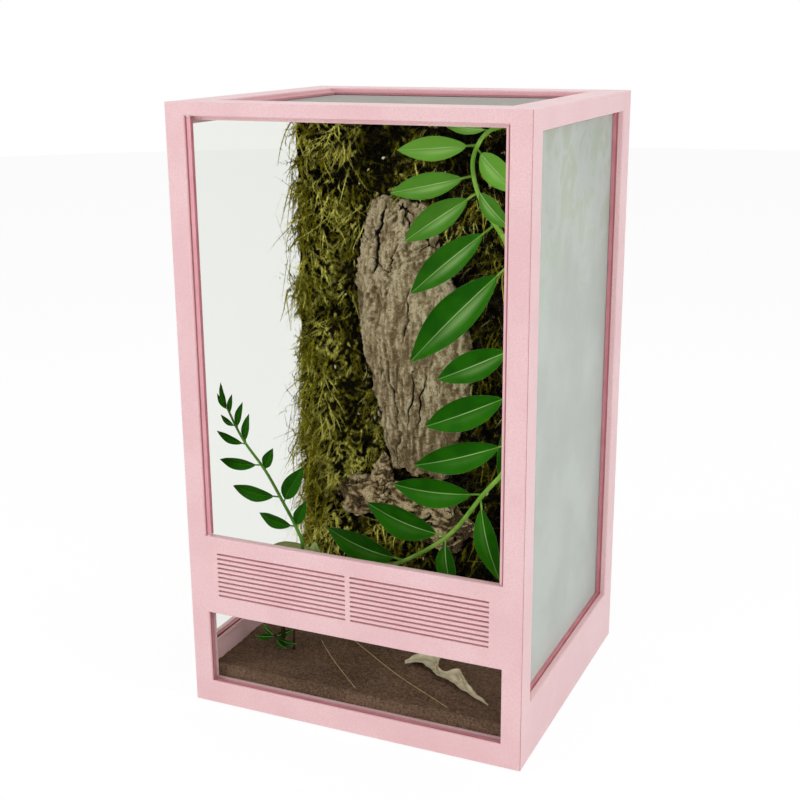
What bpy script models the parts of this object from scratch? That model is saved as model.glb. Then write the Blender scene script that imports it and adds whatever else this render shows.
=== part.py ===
"""A tall planted glass terrarium with a swinging glass door and a lift-off mesh lid.

Four moulded walls meet at mitred corners round a top rim and a base frame. Metres, +Z up.
The origin is at the bottom centre of the case, and the door faces -Y.
"""

import math

import bmesh
import bpy
from mathutils import Matrix, Vector, noise

MM = 0.001

# Overall size
WIDTH = 350 * MM
DEPTH = 310 * MM
HEIGHT = 600 * MM
FIT = 0.3 * MM
SEAT = 0.1 * MM

# Walls
WALL_FOOT = 1 * MM
END_WALL = 11 * MM
SIDE_WALL = 15.5 * MM
CORNER_SKIN = 5 * MM
ARRIS = 1.2 * MM
OVERCUT = 5 * MM

# Openings in the walls, as margins from the wall's edges and heights above the ground
DOOR_STILE = 20 * MM
DOOR_TOP_RAIL = 12 * MM
DOOR_SILL = 183 * MM
LOW_WINDOW_SILL = 25 * MM
LOW_WINDOW_TOP = 101 * MM
SIDE_STILE = 26 * MM
BACK_STILE = 20 * MM
PANE_TOP_RAIL = 19 * MM
PANE_SILL = 60 * MM

# Glazing, from the outer face inwards: lip, gasket, pane, bead
END_LIP = 2.2 * MM
SIDE_LIP = 5.5 * MM
END_GASKET = 2.4 * MM
SIDE_GASKET = 4.8 * MM
REBATE = 3.5 * MM
SIDE_STILE_REBATE = 12 * MM
GASKET_PROUD = 0.8 * MM
GROOVE_WIDTH = 1.5 * MM
GROOVE_DEPTH = 1.2 * MM
PANE = 3 * MM
BEAD_WIDTH = 5 * MM
BEAD_SHELF = 1.9 * MM
BEAD_STEP = 0.4 * MM

# Vent band
SLOT_ROWS = 10
SLOT_COLUMNS = 2
SLOT_HEIGHT = 2 * MM
SLOT_PITCH = 4.9 * MM
SLOT_END_MARGIN = 32.5 * MM
SLOT_WEB = 5 * MM
SLOT_TOP_CENTRE = 165.6 * MM
VENT_PLATE = 4 * MM
VENT_POCKET_MARGIN = 8 * MM
VENT_SCREEN = 0.6 * MM
VENT_RETAINER = 3 * MM
VENT_RETAINER_BAR = 6 * MM

# Door
DOOR_SEAT = 7.4 * MM
DOOR_STOP = 4 * MM
SILL_FALL = 0.6
DOOR_GLASS = 3 * MM
HINGE_INSET = 4.5 * MM
HINGE_OFFSET = 2.7 * MM
HINGE_STILE_REACH = 3.1 * MM
CHANNEL_DEPTH = 1.4 * MM
CHANNEL_WALL = 0.55 * MM
EDGE_STRIP = 2.4 * MM
DOOR_FREE_GAP = 1.2 * MM
DOOR_TOP_GAP = 0.6 * MM
PIN_RADIUS = 1.2 * MM
PIN_IN_STILE = 9 * MM
PIN_RUNNING = 0.08 * MM
BUSH_RADIUS = 2 * MM
BUSH_LENGTH = 6 * MM
BUSH_FLANGE_RADIUS = 2.6 * MM
BUSH_FLANGE = 0.8 * MM
MAGNET_WIDTH = 2.2 * MM
MAGNET_DEPTH = 2.2 * MM
MAGNET_HEIGHT = 20 * MM
MAGNET_SPACING = 200 * MM
MAGNET_EDGE_WALL = 1 * MM

# Top rim and lid
RIM_SIDE = 32 * MM
RIM_END = 40 * MM
RIM_HEIGHT = 16 * MM
RIM_WALL = 2.5 * MM
RIM_RIB = 12 * MM
RIM_ARRIS = 0.5 * MM
LEDGE = 8 * MM
LID_DROP = 3 * MM
LID_FRAME_HEIGHT = 5 * MM
LID_FRAME_BAR = 9.4 * MM
LID_PLAY = 0.6 * MM
LID_MESH = 0.8 * MM
LID_MESH_LAP = 4 * MM
LID_GRID_ACROSS = 8
LID_GRID_DEEP = 9
LID_GRID_OPEN = 0.79
SPLINE_WIDTH = 2.4 * MM
SPLINE_HEIGHT = 2.7 * MM

# Base
BASE_HEIGHT = 14 * MM
BASE_LEDGE = 9 * MM
BASE_WALL = 5 * MM
BASE_LEDGE_HEIGHT = 9.7 * MM
FOOT_RADIUS = 5.5 * MM
FOOT_HEIGHT = 4 * MM

# Screws that hold the walls to the rim and the base
SCREW_RADIUS = 1.3 * MM
SCREW_HEAD_RADIUS = 2.2 * MM
SCREW_HEAD = 1.4 * MM
SCREW_BITE = 6 * MM

# Planting
SOIL_LEVEL = 40 * MM
SOIL_ROUGHNESS = 2.5 * MM
PLANTING_FRONT = 18 * MM
BOARD = 8 * MM
MOSS_THICKNESS = 62 * MM
MOSS_ROUGHNESS = 16 * MM
MOSS_TOP_GAP = 6 * MM
BARK_THICKNESS = 20 * MM
BARK_BED = 6 * MM
BARK_RAGGED = 5 * MM
BED_GAP = 0.4 * MM
WOOD_PROUD = 4 * MM
WOOD_KNOBS = 0.35
PLANT_REACH = 544 * MM
STEM_RADIUS = 2.2 * MM
SMALL_STEM_RADIUS = 1.2 * MM
STEM_TAPER = 0.45
STEM_SIDES = 6
ROOT_GAP = 0.5 * MM
LEAF_THICKNESS = 0.8 * MM
LEAF_FOLD = 0.25
LEAF_ARCH = 0.1
LONG_LEAF = 48 * MM
STALK = 0.12
STRAW_RADIUS = 0.9 * MM
STRAW_STEPS = 8
DEAD_LEAF_WIDTH = 26 * MM
DEAD_LEAF_CURL = 6 * MM
REST_GAP = 0.5 * MM
ROUND_SIDES = 16

# Places that the sizes above lead to
HALF_WIDTH = WIDTH / 2
HALF_DEPTH = DEPTH / 2
INNER_HALF_WIDTH = HALF_WIDTH - SIDE_WALL
INNER_HALF_DEPTH = HALF_DEPTH - END_WALL
DOOR_HALF_WIDTH = HALF_WIDTH - DOOR_STILE
DOOR_HEAD = HEIGHT - DOOR_TOP_RAIL
HINGE_X = -DOOR_HALF_WIDTH + HINGE_OFFSET
HINGE_Y = -HALF_DEPTH + HINGE_INSET
DOOR_BOTTOM = DOOR_SILL + SEAT + BUSH_FLANGE + FIT
DOOR_TOP = DOOR_HEAD - SEAT - BUSH_FLANGE - DOOR_TOP_GAP
RECESS_HALF_X = HALF_WIDTH - RIM_SIDE
RECESS_HALF_Y = HALF_DEPTH - RIM_END
RIM_BOTTOM = HEIGHT - RIM_HEIGHT
LID_BOTTOM = HEIGHT - LID_DROP - LID_FRAME_HEIGHT
LEDGE_TOP = LID_BOTTOM - FIT
TOP_SCREW_HEIGHT = LEDGE_TOP + SCREW_HEAD_RADIUS + 2 * FIT
BASE_TOP = WALL_FOOT + BASE_HEIGHT
BASE_PANE_BOTTOM = WALL_FOOT + BASE_LEDGE_HEIGHT + FIT
SOIL_BOTTOM = BASE_TOP + FIT
BOARD_FRONT = INNER_HALF_DEPTH - FIT - BOARD
MOSS_BACK = BOARD_FRONT - FIT
MOSS_HALF_WIDTH = INNER_HALF_WIDTH - BEAD_STEP


def clear_scene():
    for item in list(bpy.data.objects):
        bpy.data.objects.remove(item, do_unlink=True)


def make_finish(name, colour, roughness, metallic=0.0, transmission=0.0):
    finish = bpy.data.materials.new(name)
    finish.use_nodes = True
    shader = finish.node_tree.nodes["Principled BSDF"]
    shader.inputs["Base Color"].default_value = (*colour, 1.0)
    shader.inputs["Roughness"].default_value = roughness
    shader.inputs["Metallic"].default_value = metallic
    shader.inputs["Transmission Weight"].default_value = transmission
    return finish


def make_finishes():
    return {
        "pink_plastic": make_finish("pink_plastic", (0.82, 0.55, 0.58), 0.45),
        "pink_metal": make_finish("pink_metal", (0.82, 0.55, 0.58), 0.35, 0.2),
        "glass": make_finish("glass", (0.93, 0.96, 0.94), 0.02, 0.0, 0.95),
        "gasket": make_finish("gasket", (0.74, 0.47, 0.5), 0.55),
        "steel": make_finish("steel", (0.6, 0.6, 0.6), 0.3, 1.0),
        "mesh": make_finish("mesh", (0.36, 0.34, 0.32), 0.4, 1.0),
        "nylon": make_finish("nylon", (0.85, 0.83, 0.8), 0.4),
        "magnet": make_finish("magnet", (0.2, 0.2, 0.2), 0.4, 0.8),
        "rubber": make_finish("rubber", (0.06, 0.05, 0.05), 0.8),
        "soil": make_finish("soil", (0.1, 0.065, 0.045), 0.95),
        "board": make_finish("board", (0.12, 0.08, 0.05), 0.9),
        "moss": make_finish("moss", (0.15, 0.14, 0.03), 0.9),
        "bark": make_finish("bark", (0.27, 0.21, 0.15), 0.85),
        "leaf": make_finish("leaf", (0.03, 0.16, 0.01), 0.35),
        "pale_leaf": make_finish("pale_leaf", (0.22, 0.31, 0.12), 0.5),
        "dry_leaf": make_finish("dry_leaf", (0.45, 0.37, 0.24), 0.8),
    }


def make_object(name, bm, finish, parent=None, smooth=False):
    """One named piece from a bmesh, with its faces turned outwards."""
    bmesh.ops.recalc_face_normals(bm, faces=bm.faces)
    mesh = bpy.data.meshes.new(name)
    bm.to_mesh(mesh)
    bm.free()
    mesh.materials.append(finish)
    if smooth:
        mesh.shade_smooth()
        mesh.set_sharp_from_angle(angle=math.radians(40))
    piece = bpy.data.objects.new(name, mesh)
    bpy.context.scene.collection.objects.link(piece)
    piece.parent = parent
    return piece


def make_empty(name, location):
    empty = bpy.data.objects.new(name, None)
    bpy.context.scene.collection.objects.link(empty)
    empty.location = location
    return empty


def add_box(bm, low, high):
    low = Vector(low)
    high = Vector(high)
    place = Matrix.Translation((low + high) / 2) @ Matrix.Diagonal((*(high - low), 1.0))
    bmesh.ops.create_cube(bm, size=1.0, matrix=place)


def box_shape(low, high):
    bm = bmesh.new()
    add_box(bm, low, high)
    return bm


def prism_shape(outline, bottom, top):
    """An outline in X and Y, extruded along Z."""
    bm = bmesh.new()
    face = bm.faces.new([bm.verts.new((x, y, bottom)) for x, y in outline])
    lifted = bmesh.ops.extrude_face_region(bm, geom=[face])["geom"]
    points = [item for item in lifted if isinstance(item, bmesh.types.BMVert)]
    bmesh.ops.translate(bm, verts=points, vec=(0, 0, top - bottom))
    return bm


def turned_shape(profile, sides=ROUND_SIDES):
    """A closed profile of (radius, height) points, turned about Z."""
    bm = bmesh.new()
    points = [bm.verts.new((radius, 0, height)) for radius, height in profile]
    edges = []
    for i, (radius, _) in enumerate(profile):
        if radius > 0 or profile[i - 1][0] > 0:
            edges.append(bm.edges.new((points[i - 1], points[i])))
    bmesh.ops.spin(
        bm,
        geom=points + edges,
        cent=(0, 0, 0),
        axis=(0, 0, 1),
        angle=math.tau,
        steps=sides,
        use_merge=True,
    )
    bmesh.ops.remove_doubles(bm, verts=bm.verts, dist=1e-6)
    return bm


def frame_shape(half_across, low, high, profile):
    """A rectangular ring in the plane of a wall.

    Each profile point is how far it lies outside the rectangle at the sides, how far at the top and
    the bottom, and how deep behind the wall's face.
    """
    bm = bmesh.new()
    rings = []
    for side, end in ((-1, low), (1, low), (1, high), (-1, high)):
        sign = -1 if end == low else 1
        ring = [
            bm.verts.new((side * (half_across + beside), depth, end + sign * beyond))
            for beside, beyond, depth in profile
        ]
        rings.append(ring)
    for i, ring in enumerate(rings):
        following = rings[(i + 1) % 4]
        for j in range(len(profile)):
            after = (j + 1) % len(profile)
            bm.faces.new((ring[j], following[j], following[after], ring[after]))
    return bm


def even(profile):
    """A ring's profile of offset and depth, with the same offset on all four sides."""
    return [(offset, offset, depth) for offset, depth in profile]


def lay_flat(bm):
    """Turns a ring made in a wall's plane into a horizontal one: depth becomes height."""
    for vertex in bm.verts:
        across, depth, along = vertex.co
        vertex.co = (across, along, depth)
    return bm


def cut(piece, name, bm):
    """Cuts a shape, given in the piece's own coordinates, out of the piece."""
    cutter = make_object(name, bm, piece.data.materials[0], piece.parent)
    cutter.location = piece.location
    cutter.rotation_euler = piece.rotation_euler
    cutter.hide_render = True
    cutter.display_type = "WIRE"
    step = piece.modifiers.new(name, "BOOLEAN")
    step.operation = "DIFFERENCE"
    step.solver = "EXACT"
    step.object = cutter


def round_edges(bm, on_edge, width):
    """Rounds the edges whose ends both pass a test."""
    edges = [edge for edge in bm.edges if all(on_edge(vertex.co) for vertex in edge.verts)]
    bmesh.ops.bevel(bm, geom=edges, offset=width, segments=2, profile=0.5, affect="EDGES")


def opening_shape(half_across, low, high, back, arris=ARRIS):
    """A cutter for a rectangular opening in a wall's face, with a rounded arris at its mouth."""
    middle = 1 - math.sqrt(0.5)
    slope = (1 - middle) / middle
    sections = (
        (-arris, arris * (1 + slope)),
        (arris * middle, arris * middle),
        (arris, 0),
        (back, 0),
    )
    bm = bmesh.new()
    rings = []
    for depth, flare in sections:
        corners = ((-1, low - flare), (1, low - flare), (1, high + flare), (-1, high + flare))
        rings.append([bm.verts.new((side * (half_across + flare), depth, end)) for side, end in corners])
    for ring, deeper in zip(rings, rings[1:]):
        for i in range(4):
            bm.faces.new((ring[i - 1], ring[i], deeper[i], deeper[i - 1]))
    bm.faces.new(rings[0])
    bm.faces.new(rings[-1])
    return bm


def end_wall_outline():
    """The front and back walls reach the corners, and step in behind the mitre for the side walls."""
    step = HALF_WIDTH - CORNER_SKIN
    return [
        (-HALF_WIDTH, 0),
        (HALF_WIDTH, 0),
        (step, CORNER_SKIN),
        (step, END_WALL),
        (-step, END_WALL),
        (-step, CORNER_SKIN),
    ]


def side_wall_outline():
    """The side walls end in a thin skin that wraps round the end walls up to the mitre."""
    tip = HALF_DEPTH - FIT * math.sqrt(2)
    skin = CORNER_SKIN - FIT
    root = HALF_DEPTH - END_WALL - FIT
    return [
        (-tip, 0),
        (tip, 0),
        (tip - skin, skin),
        (root, skin),
        (root, SIDE_WALL),
        (-root, SIDE_WALL),
        (-root, skin),
        (-tip + skin, skin),
    ]


def make_wall(name, outline, quarter_turns, distance, finish, parent):
    """A wall in its own frame: X along it, Y inwards from its outer face, Z up."""
    shape = prism_shape(outline, WALL_FOOT, HEIGHT)
    round_edges(shape, lambda place: place.y < SEAT, ARRIS)
    wall = make_object(name, shape, finish, parent)
    turn = quarter_turns * math.pi / 2
    wall.rotation_euler = (0, 0, turn)
    wall.location = Matrix.Rotation(turn, 4, "Z") @ Vector((0, -distance, 0))
    return wall


def set_in_wall(piece, wall):
    piece.location = wall.location
    piece.rotation_euler = wall.rotation_euler


class Glazing:
    """The depths of a window's layers behind its wall's face, and how far the pane laps the stiles."""

    def __init__(self, lip, gasket, stile_rebate, thickness):
        self.lip = lip
        self.gasket_front = lip + FIT
        self.gasket_back = self.gasket_front + gasket
        self.pane_front = self.gasket_back + FIT
        self.pane_back = self.pane_front + PANE
        self.bead_front = self.pane_back + FIT
        self.stile_rebate = stile_rebate
        self.thickness = thickness


END_GLAZING = Glazing(END_LIP, END_GASKET, REBATE, END_WALL)
SIDE_GLAZING = Glazing(SIDE_LIP, SIDE_GASKET, SIDE_STILE_REBATE, SIDE_WALL)


def cut_window(wall, name, half_across, low, high, glazing):
    """An opening, with a wider pocket behind its lip for the gasket, the pane and the bead."""
    back = glazing.thickness + OVERCUT
    wide = half_across + glazing.stile_rebate
    cut(wall, name + "_sight", opening_shape(half_across, low, high, back))
    rebate = box_shape((-wide, glazing.lip, low - REBATE), (wide, back, high + REBATE))
    cut(wall, name + "_rebate", rebate)


def glaze(wall, name, half_across, low, high, glazing, finishes):
    """The gasket, the pane and the bead that fill one opening, each set in from the last."""
    edge = (glazing.stile_rebate - FIT, REBATE - FIT)
    rim = (glazing.stile_rebate - BEAD_WIDTH, REBATE - BEAD_WIDTH)
    soft = (rim[0] + BEAD_STEP / 2, rim[1] + BEAD_STEP / 2)
    shelf = (rim[0] + BEAD_SHELF, rim[1] + BEAD_SHELF)
    gasket_profile = [
        (-GASKET_PROUD, -GASKET_PROUD, glazing.gasket_back),
        (-GASKET_PROUD, -GASKET_PROUD, glazing.gasket_front + GROOVE_WIDTH),
        (GROOVE_DEPTH, GROOVE_DEPTH, glazing.gasket_front + GROOVE_WIDTH),
        (GROOVE_DEPTH, GROOVE_DEPTH, glazing.gasket_front),
        (*edge, glazing.gasket_front),
        (*edge, glazing.gasket_back),
    ]
    step_depth = glazing.thickness - BEAD_STEP
    bead_profile = [
        (*rim, glazing.bead_front),
        (*rim, step_depth - BEAD_STEP / 2),
        (*soft, step_depth),
        (*shelf, step_depth),
        (*shelf, glazing.thickness),
        (*edge, glazing.thickness),
        (*edge, glazing.bead_front),
    ]
    parent = wall.parent
    gasket_ring = frame_shape(half_across, low, high, gasket_profile)
    bead_ring = frame_shape(half_across, low, high, bead_profile)
    plate = box_shape(
        (-half_across - edge[0], glazing.pane_front, low - edge[1]),
        (half_across + edge[0], glazing.pane_back, high + edge[1]),
    )
    gasket = make_object(name + "_gasket", gasket_ring, finishes["gasket"], parent)
    pane = make_object(name + "_pane", plate, finishes["glass"], parent)
    bead = make_object(name + "_bead", bead_ring, finishes["pink_plastic"], parent)
    for piece in (gasket, pane, bead):
        set_in_wall(piece, wall)


def add_door_opening(wall):
    """The opening steps in at the free edge only, where the closed door lies against a stop.

    Behind the door the sill falls away, so that it sheds water into the case.
    """
    front = DOOR_SEAT - SEAT
    back = END_WALL + OVERCUT
    low = DOOR_SILL - FIT
    high = DOOR_HEAD + FIT
    profile = [(front, low), (back, low - SILL_FALL * (back - front)), (back, high), (front, high)]
    sight = prism_shape(profile, -DOOR_HALF_WIDTH - FIT, DOOR_HALF_WIDTH - DOOR_STOP)
    for vertex in sight.verts:
        depth, height, across = vertex.co
        vertex.co = (across, depth, height)
    cut(wall, "door_sight", sight)
    cut(wall, "door_seat", opening_shape(DOOR_HALF_WIDTH, DOOR_SILL, DOOR_HEAD, DOOR_SEAT))


def vent_pocket_box():
    """Half width, low and high of the pocket behind the slots."""
    low = LOW_WINDOW_TOP + VENT_POCKET_MARGIN + REBATE
    high = DOOR_SILL - VENT_POCKET_MARGIN
    return DOOR_HALF_WIDTH - DOOR_STOP, low, high


def add_vent(wall, finishes):
    """Two columns of slots through a thin plate, with an insect screen held behind them."""
    half, low, high = vent_pocket_box()
    cut(wall, "vent_pocket", box_shape((-half, VENT_PLATE, low), (half, END_WALL + OVERCUT, high)))
    slots = bmesh.new()
    first = -HALF_WIDTH + SLOT_END_MARGIN
    run = (WIDTH - 2 * SLOT_END_MARGIN - (SLOT_COLUMNS - 1) * SLOT_WEB) / SLOT_COLUMNS
    for column in range(SLOT_COLUMNS):
        start = first + column * (run + SLOT_WEB)
        for row in range(SLOT_ROWS):
            centre = SLOT_TOP_CENTRE - row * SLOT_PITCH
            add_box(
                slots,
                (start, -OVERCUT, centre - SLOT_HEIGHT / 2),
                (start + run, VENT_PLATE + OVERCUT, centre + SLOT_HEIGHT / 2),
            )
    cut(wall, "vent_slots", slots)

    screen_front = VENT_PLATE + FIT
    screen_back = screen_front + VENT_SCREEN
    screen_plate = box_shape(
        (-half + FIT, screen_front, low + FIT), (half - FIT, screen_back, high - FIT)
    )
    screen = make_object("vent_screen", screen_plate, finishes["mesh"], wall.parent)
    bar_front = screen_back + FIT
    bar_profile = [
        (-FIT, bar_front),
        (-VENT_RETAINER_BAR, bar_front),
        (-VENT_RETAINER_BAR, bar_front + VENT_RETAINER / 2),
        (-VENT_RETAINER_BAR / 2, bar_front + VENT_RETAINER),
        (-FIT, bar_front + VENT_RETAINER),
    ]
    ring = frame_shape(half, low, high, even(bar_profile))
    retainer = make_object("vent_retainer", ring, finishes["pink_plastic"], wall.parent)
    set_in_wall(screen, wall)
    set_in_wall(retainer, wall)


def add_bush_holes(wall):
    radius = BUSH_RADIUS + SEAT
    flange = BUSH_FLANGE_RADIUS + SEAT
    for name, face, way in (("lower_bush_hole", DOOR_SILL, 1), ("upper_bush_hole", DOOR_HEAD, -1)):
        end = face - way * (BUSH_LENGTH + FIT)
        clear = face + way * (BUSH_FLANGE + FIT)
        profile = [(0, end), (radius, end), (radius, face), (flange, face), (flange, clear), (0, clear)]
        hole = turned_shape(profile)
        bmesh.ops.translate(hole, verts=hole.verts, vec=(HINGE_X, HINGE_INSET, 0))
        cut(wall, name, hole)


def magnet_heights():
    middle = (DOOR_SILL + DOOR_HEAD) / 2
    return (middle - MAGNET_SPACING / 2, middle + MAGNET_SPACING / 2)


def magnet_edge():
    return DOOR_HALF_WIDTH - DOOR_STOP + MAGNET_EDGE_WALL


def add_magnet_pockets(wall):
    edge = magnet_edge()
    for i, height in enumerate(magnet_heights()):
        reach = MAGNET_HEIGHT / 2 + FIT
        pocket = box_shape(
            (edge, DOOR_SEAT - OVERCUT, height - reach),
            (edge + MAGNET_WIDTH + 2 * FIT, DOOR_SEAT + MAGNET_DEPTH + 2 * FIT, height + reach),
        )
        cut(wall, f"magnet_pocket_{i + 1}", pocket)


def make_magnets(wall, finish):
    edge = magnet_edge() + FIT
    for name, height in zip(("lower_magnet", "upper_magnet"), magnet_heights()):
        block = box_shape(
            (edge, DOOR_SEAT + FIT, height - MAGNET_HEIGHT / 2),
            (edge + MAGNET_WIDTH, DOOR_SEAT + FIT + MAGNET_DEPTH, height + MAGNET_HEIGHT / 2),
        )
        set_in_wall(make_object(name, block, finish, wall.parent), wall)


def make_bushes(finish, parent):
    """Flanged bushes. Each flange is the thrust face that the door's stile turns on."""
    bore = PIN_RADIUS + PIN_RUNNING
    for name, face, way in (("lower_bush", DOOR_SILL, 1), ("upper_bush", DOOR_HEAD, -1)):
        seat = face + way * SEAT
        shape = turned_shape(
            [
                (bore, face - way * BUSH_LENGTH),
                (BUSH_RADIUS, face - way * BUSH_LENGTH),
                (BUSH_RADIUS, seat),
                (BUSH_FLANGE_RADIUS, seat),
                (BUSH_FLANGE_RADIUS, seat + way * BUSH_FLANGE),
                (bore, seat + way * BUSH_FLANGE),
            ]
        )
        bush = make_object(name, shape, finish, parent, smooth=True)
        bush.location = (HINGE_X, HINGE_Y, 0)


def make_front(finishes, parent):
    wall = make_wall("front_frame", end_wall_outline(), 0, HALF_DEPTH, finishes["pink_plastic"], parent)
    window = (DOOR_HALF_WIDTH, LOW_WINDOW_SILL, LOW_WINDOW_TOP)
    add_door_opening(wall)
    cut_window(wall, "low_window", *window, END_GLAZING)
    add_vent(wall, finishes)
    add_bush_holes(wall)
    add_magnet_pockets(wall)
    glaze(wall, "low_window", *window, END_GLAZING, finishes)
    make_magnets(wall, finishes["magnet"])
    make_bushes(finishes["nylon"], parent)


def make_pane_wall(name, outline, quarter_turns, distance, stile, length, glazing, finishes, parent):
    wall = make_wall(name + "_frame", outline, quarter_turns, distance, finishes["pink_plastic"], parent)
    opening = (length / 2 - stile, PANE_SILL, HEIGHT - PANE_TOP_RAIL)
    cut_window(wall, name, *opening, glazing)
    glaze(wall, name, *opening, glazing, finishes)


def make_door(finishes, axis):
    """The door's pieces. Their origin is on the hinge axis, which the empty marks."""
    slot = DOOR_GLASS / 2 + FIT - SEAT
    skin = slot + CHANNEL_WALL
    slot_bottom = HINGE_STILE_REACH - CHANNEL_DEPTH
    arc_steps = 8
    arc = [math.pi / 2 + math.pi * i / arc_steps for i in range(arc_steps + 1)]
    rounded = [(skin * math.cos(a), skin * math.sin(a)) for a in arc]
    channel = [
        (HINGE_STILE_REACH, -skin),
        (HINGE_STILE_REACH, -slot),
        (slot_bottom, -slot),
        (slot_bottom, slot),
        (HINGE_STILE_REACH, slot),
        (HINGE_STILE_REACH, skin),
    ]
    stile_shape = prism_shape(rounded + channel, DOOR_BOTTOM, DOOR_TOP)
    stile = make_object("door_hinge_stile", stile_shape, finishes["pink_metal"], axis)
    hole_radius = PIN_RADIUS + SEAT
    for name, low, high in (
        ("lower_pin_hole", DOOR_BOTTOM - FIT, DOOR_BOTTOM + PIN_IN_STILE + FIT),
        ("upper_pin_hole", DOOR_TOP - PIN_IN_STILE - FIT, DOOR_TOP + FIT),
    ):
        cut(stile, name, turned_shape([(0, low), (hole_radius, low), (hole_radius, high), (0, high)]))

    free_edge = DOOR_HALF_WIDTH - DOOR_FREE_GAP - HINGE_X
    strip_inner = free_edge - EDGE_STRIP
    strip_slot = strip_inner + CHANNEL_DEPTH
    strip_outline = [
        (free_edge - CHANNEL_WALL, -skin),
        (free_edge, -skin + CHANNEL_WALL),
        (free_edge, skin - CHANNEL_WALL),
        (free_edge - CHANNEL_WALL, skin),
        (strip_inner, skin),
        (strip_inner, slot),
        (strip_slot, slot),
        (strip_slot, -slot),
        (strip_inner, -slot),
        (strip_inner, -skin),
    ]
    strip_shape = prism_shape(strip_outline, DOOR_BOTTOM, DOOR_TOP)
    make_object("door_edge_strip", strip_shape, finishes["pink_metal"], axis)

    glass_shape = box_shape(
        (slot_bottom + FIT, -DOOR_GLASS / 2, DOOR_BOTTOM),
        (strip_slot - FIT, DOOR_GLASS / 2, DOOR_TOP),
    )
    make_object("door_glass", glass_shape, finishes["glass"], axis)

    for name, inner, outer in (
        ("lower_pin", DOOR_BOTTOM + PIN_IN_STILE, DOOR_SILL - BUSH_LENGTH + FIT),
        ("upper_pin", DOOR_TOP - PIN_IN_STILE, DOOR_HEAD + BUSH_LENGTH - FIT),
    ):
        taper = PIN_RADIUS * 0.6
        tip = outer + math.copysign(PIN_RADIUS - taper, inner - outer)
        shape = turned_shape([(0, inner), (PIN_RADIUS, inner), (PIN_RADIUS, tip), (taper, outer), (0, outer)])
        make_object(name, shape, finishes["steel"], axis, smooth=True)


def make_rim(finishes, parent):
    """The rim fills the gap between the walls and the lid, with a ledge for the lid and troughs below."""
    half_x = INNER_HALF_WIDTH - FIT
    half_y = INNER_HALF_DEPTH - FIT
    shape = box_shape((-half_x, -half_y, RIM_BOTTOM), (half_x, half_y, HEIGHT))
    round_edges(shape, lambda place: place.z > HEIGHT - SEAT, RIM_ARRIS)
    rim = make_object("top_rim", shape, finishes["pink_plastic"], parent)
    recess = opening_shape(RECESS_HALF_X, -RECESS_HALF_Y, RECESS_HALF_Y, HEIGHT - LEDGE_TOP)
    for vertex in recess.verts:
        across, depth, along_y = vertex.co
        vertex.co = (across, along_y, HEIGHT - depth)
    cut(rim, "lid_recess", recess)
    sight_x = RECESS_HALF_X - LEDGE
    sight_y = RECESS_HALF_Y - LEDGE
    cut(rim, "rim_sight", box_shape((-sight_x, -sight_y, RIM_BOTTOM - OVERCUT), (sight_x, sight_y, HEIGHT)))
    near = RECESS_HALF_Y + RIM_WALL
    far = half_y - RIM_WALL
    troughs = bmesh.new()
    for x_side in (-1, 1):
        for y_side in (-1, 1):
            xs = sorted((x_side * RIM_RIB / 2, x_side * sight_x))
            ys = sorted((y_side * near, y_side * far))
            add_box(troughs, (xs[0], ys[0], RIM_BOTTOM - OVERCUT), (xs[1], ys[1], HEIGHT - RIM_WALL))
    cut(rim, "rim_troughs", troughs)


def make_lid(finishes, seat):
    """The mesh is held in a groove under the lid frame by a spline. Heights are from the lid's underside.

    The woven mesh stands here as a plate with a coarse grid of openings.
    """
    outer_x = RECESS_HALF_X - LID_PLAY
    outer_y = RECESS_HALF_Y - LID_PLAY
    half_x = outer_x - LID_FRAME_BAR
    half_y = outer_y - LID_FRAME_BAR
    groove_start = LID_MESH_LAP + FIT
    groove_end = groove_start + SPLINE_WIDTH + 2 * FIT
    groove_top = SPLINE_HEIGHT + 2 * FIT
    mesh_low = 2 * FIT
    mesh_high = mesh_low + LID_MESH
    roof = mesh_high + FIT
    frame_profile = [
        (LID_FRAME_BAR, 0),
        (LID_FRAME_BAR, LID_FRAME_HEIGHT - ARRIS),
        (LID_FRAME_BAR - ARRIS, LID_FRAME_HEIGHT),
        (ARRIS, LID_FRAME_HEIGHT),
        (0, LID_FRAME_HEIGHT - ARRIS),
        (0, roof),
        (groove_start, roof),
        (groove_start, groove_top),
        (groove_end, groove_top),
        (groove_end, 0),
    ]
    spline_low = FIT
    spline_profile = [
        (groove_start + FIT, spline_low),
        (groove_end - FIT, spline_low),
        (groove_end - FIT, spline_low + SPLINE_HEIGHT),
        (groove_start + FIT, spline_low + SPLINE_HEIGHT),
    ]
    frame_ring = lay_flat(frame_shape(half_x, -half_y, half_y, even(frame_profile)))
    make_object("lid_frame", frame_ring, finishes["pink_plastic"], seat)
    spline_ring = lay_flat(frame_shape(half_x, -half_y, half_y, even(spline_profile)))
    make_object("lid_spline", spline_ring, finishes["rubber"], seat)
    lap = LID_MESH_LAP
    plate = box_shape((-half_x - lap, -half_y - lap, mesh_low), (half_x + lap, half_y + lap, mesh_high))
    sheet = make_object("lid_mesh", plate, finishes["mesh"], seat)
    cell_x = 2 * half_x / LID_GRID_ACROSS
    cell_y = 2 * half_y / LID_GRID_DEEP
    reach = Vector((cell_x, cell_y, 0)) * LID_GRID_OPEN / 2
    openings = bmesh.new()
    for i in range(LID_GRID_ACROSS):
        for j in range(LID_GRID_DEEP):
            x = -half_x + cell_x * (i + 0.5)
            y = -half_y + cell_y * (j + 0.5)
            low = Vector((x, y, mesh_low - FIT)) - reach
            high = Vector((x, y, mesh_high + FIT)) + reach
            add_box(openings, low, high)
    cut(sheet, "lid_mesh_grid", openings)


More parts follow.
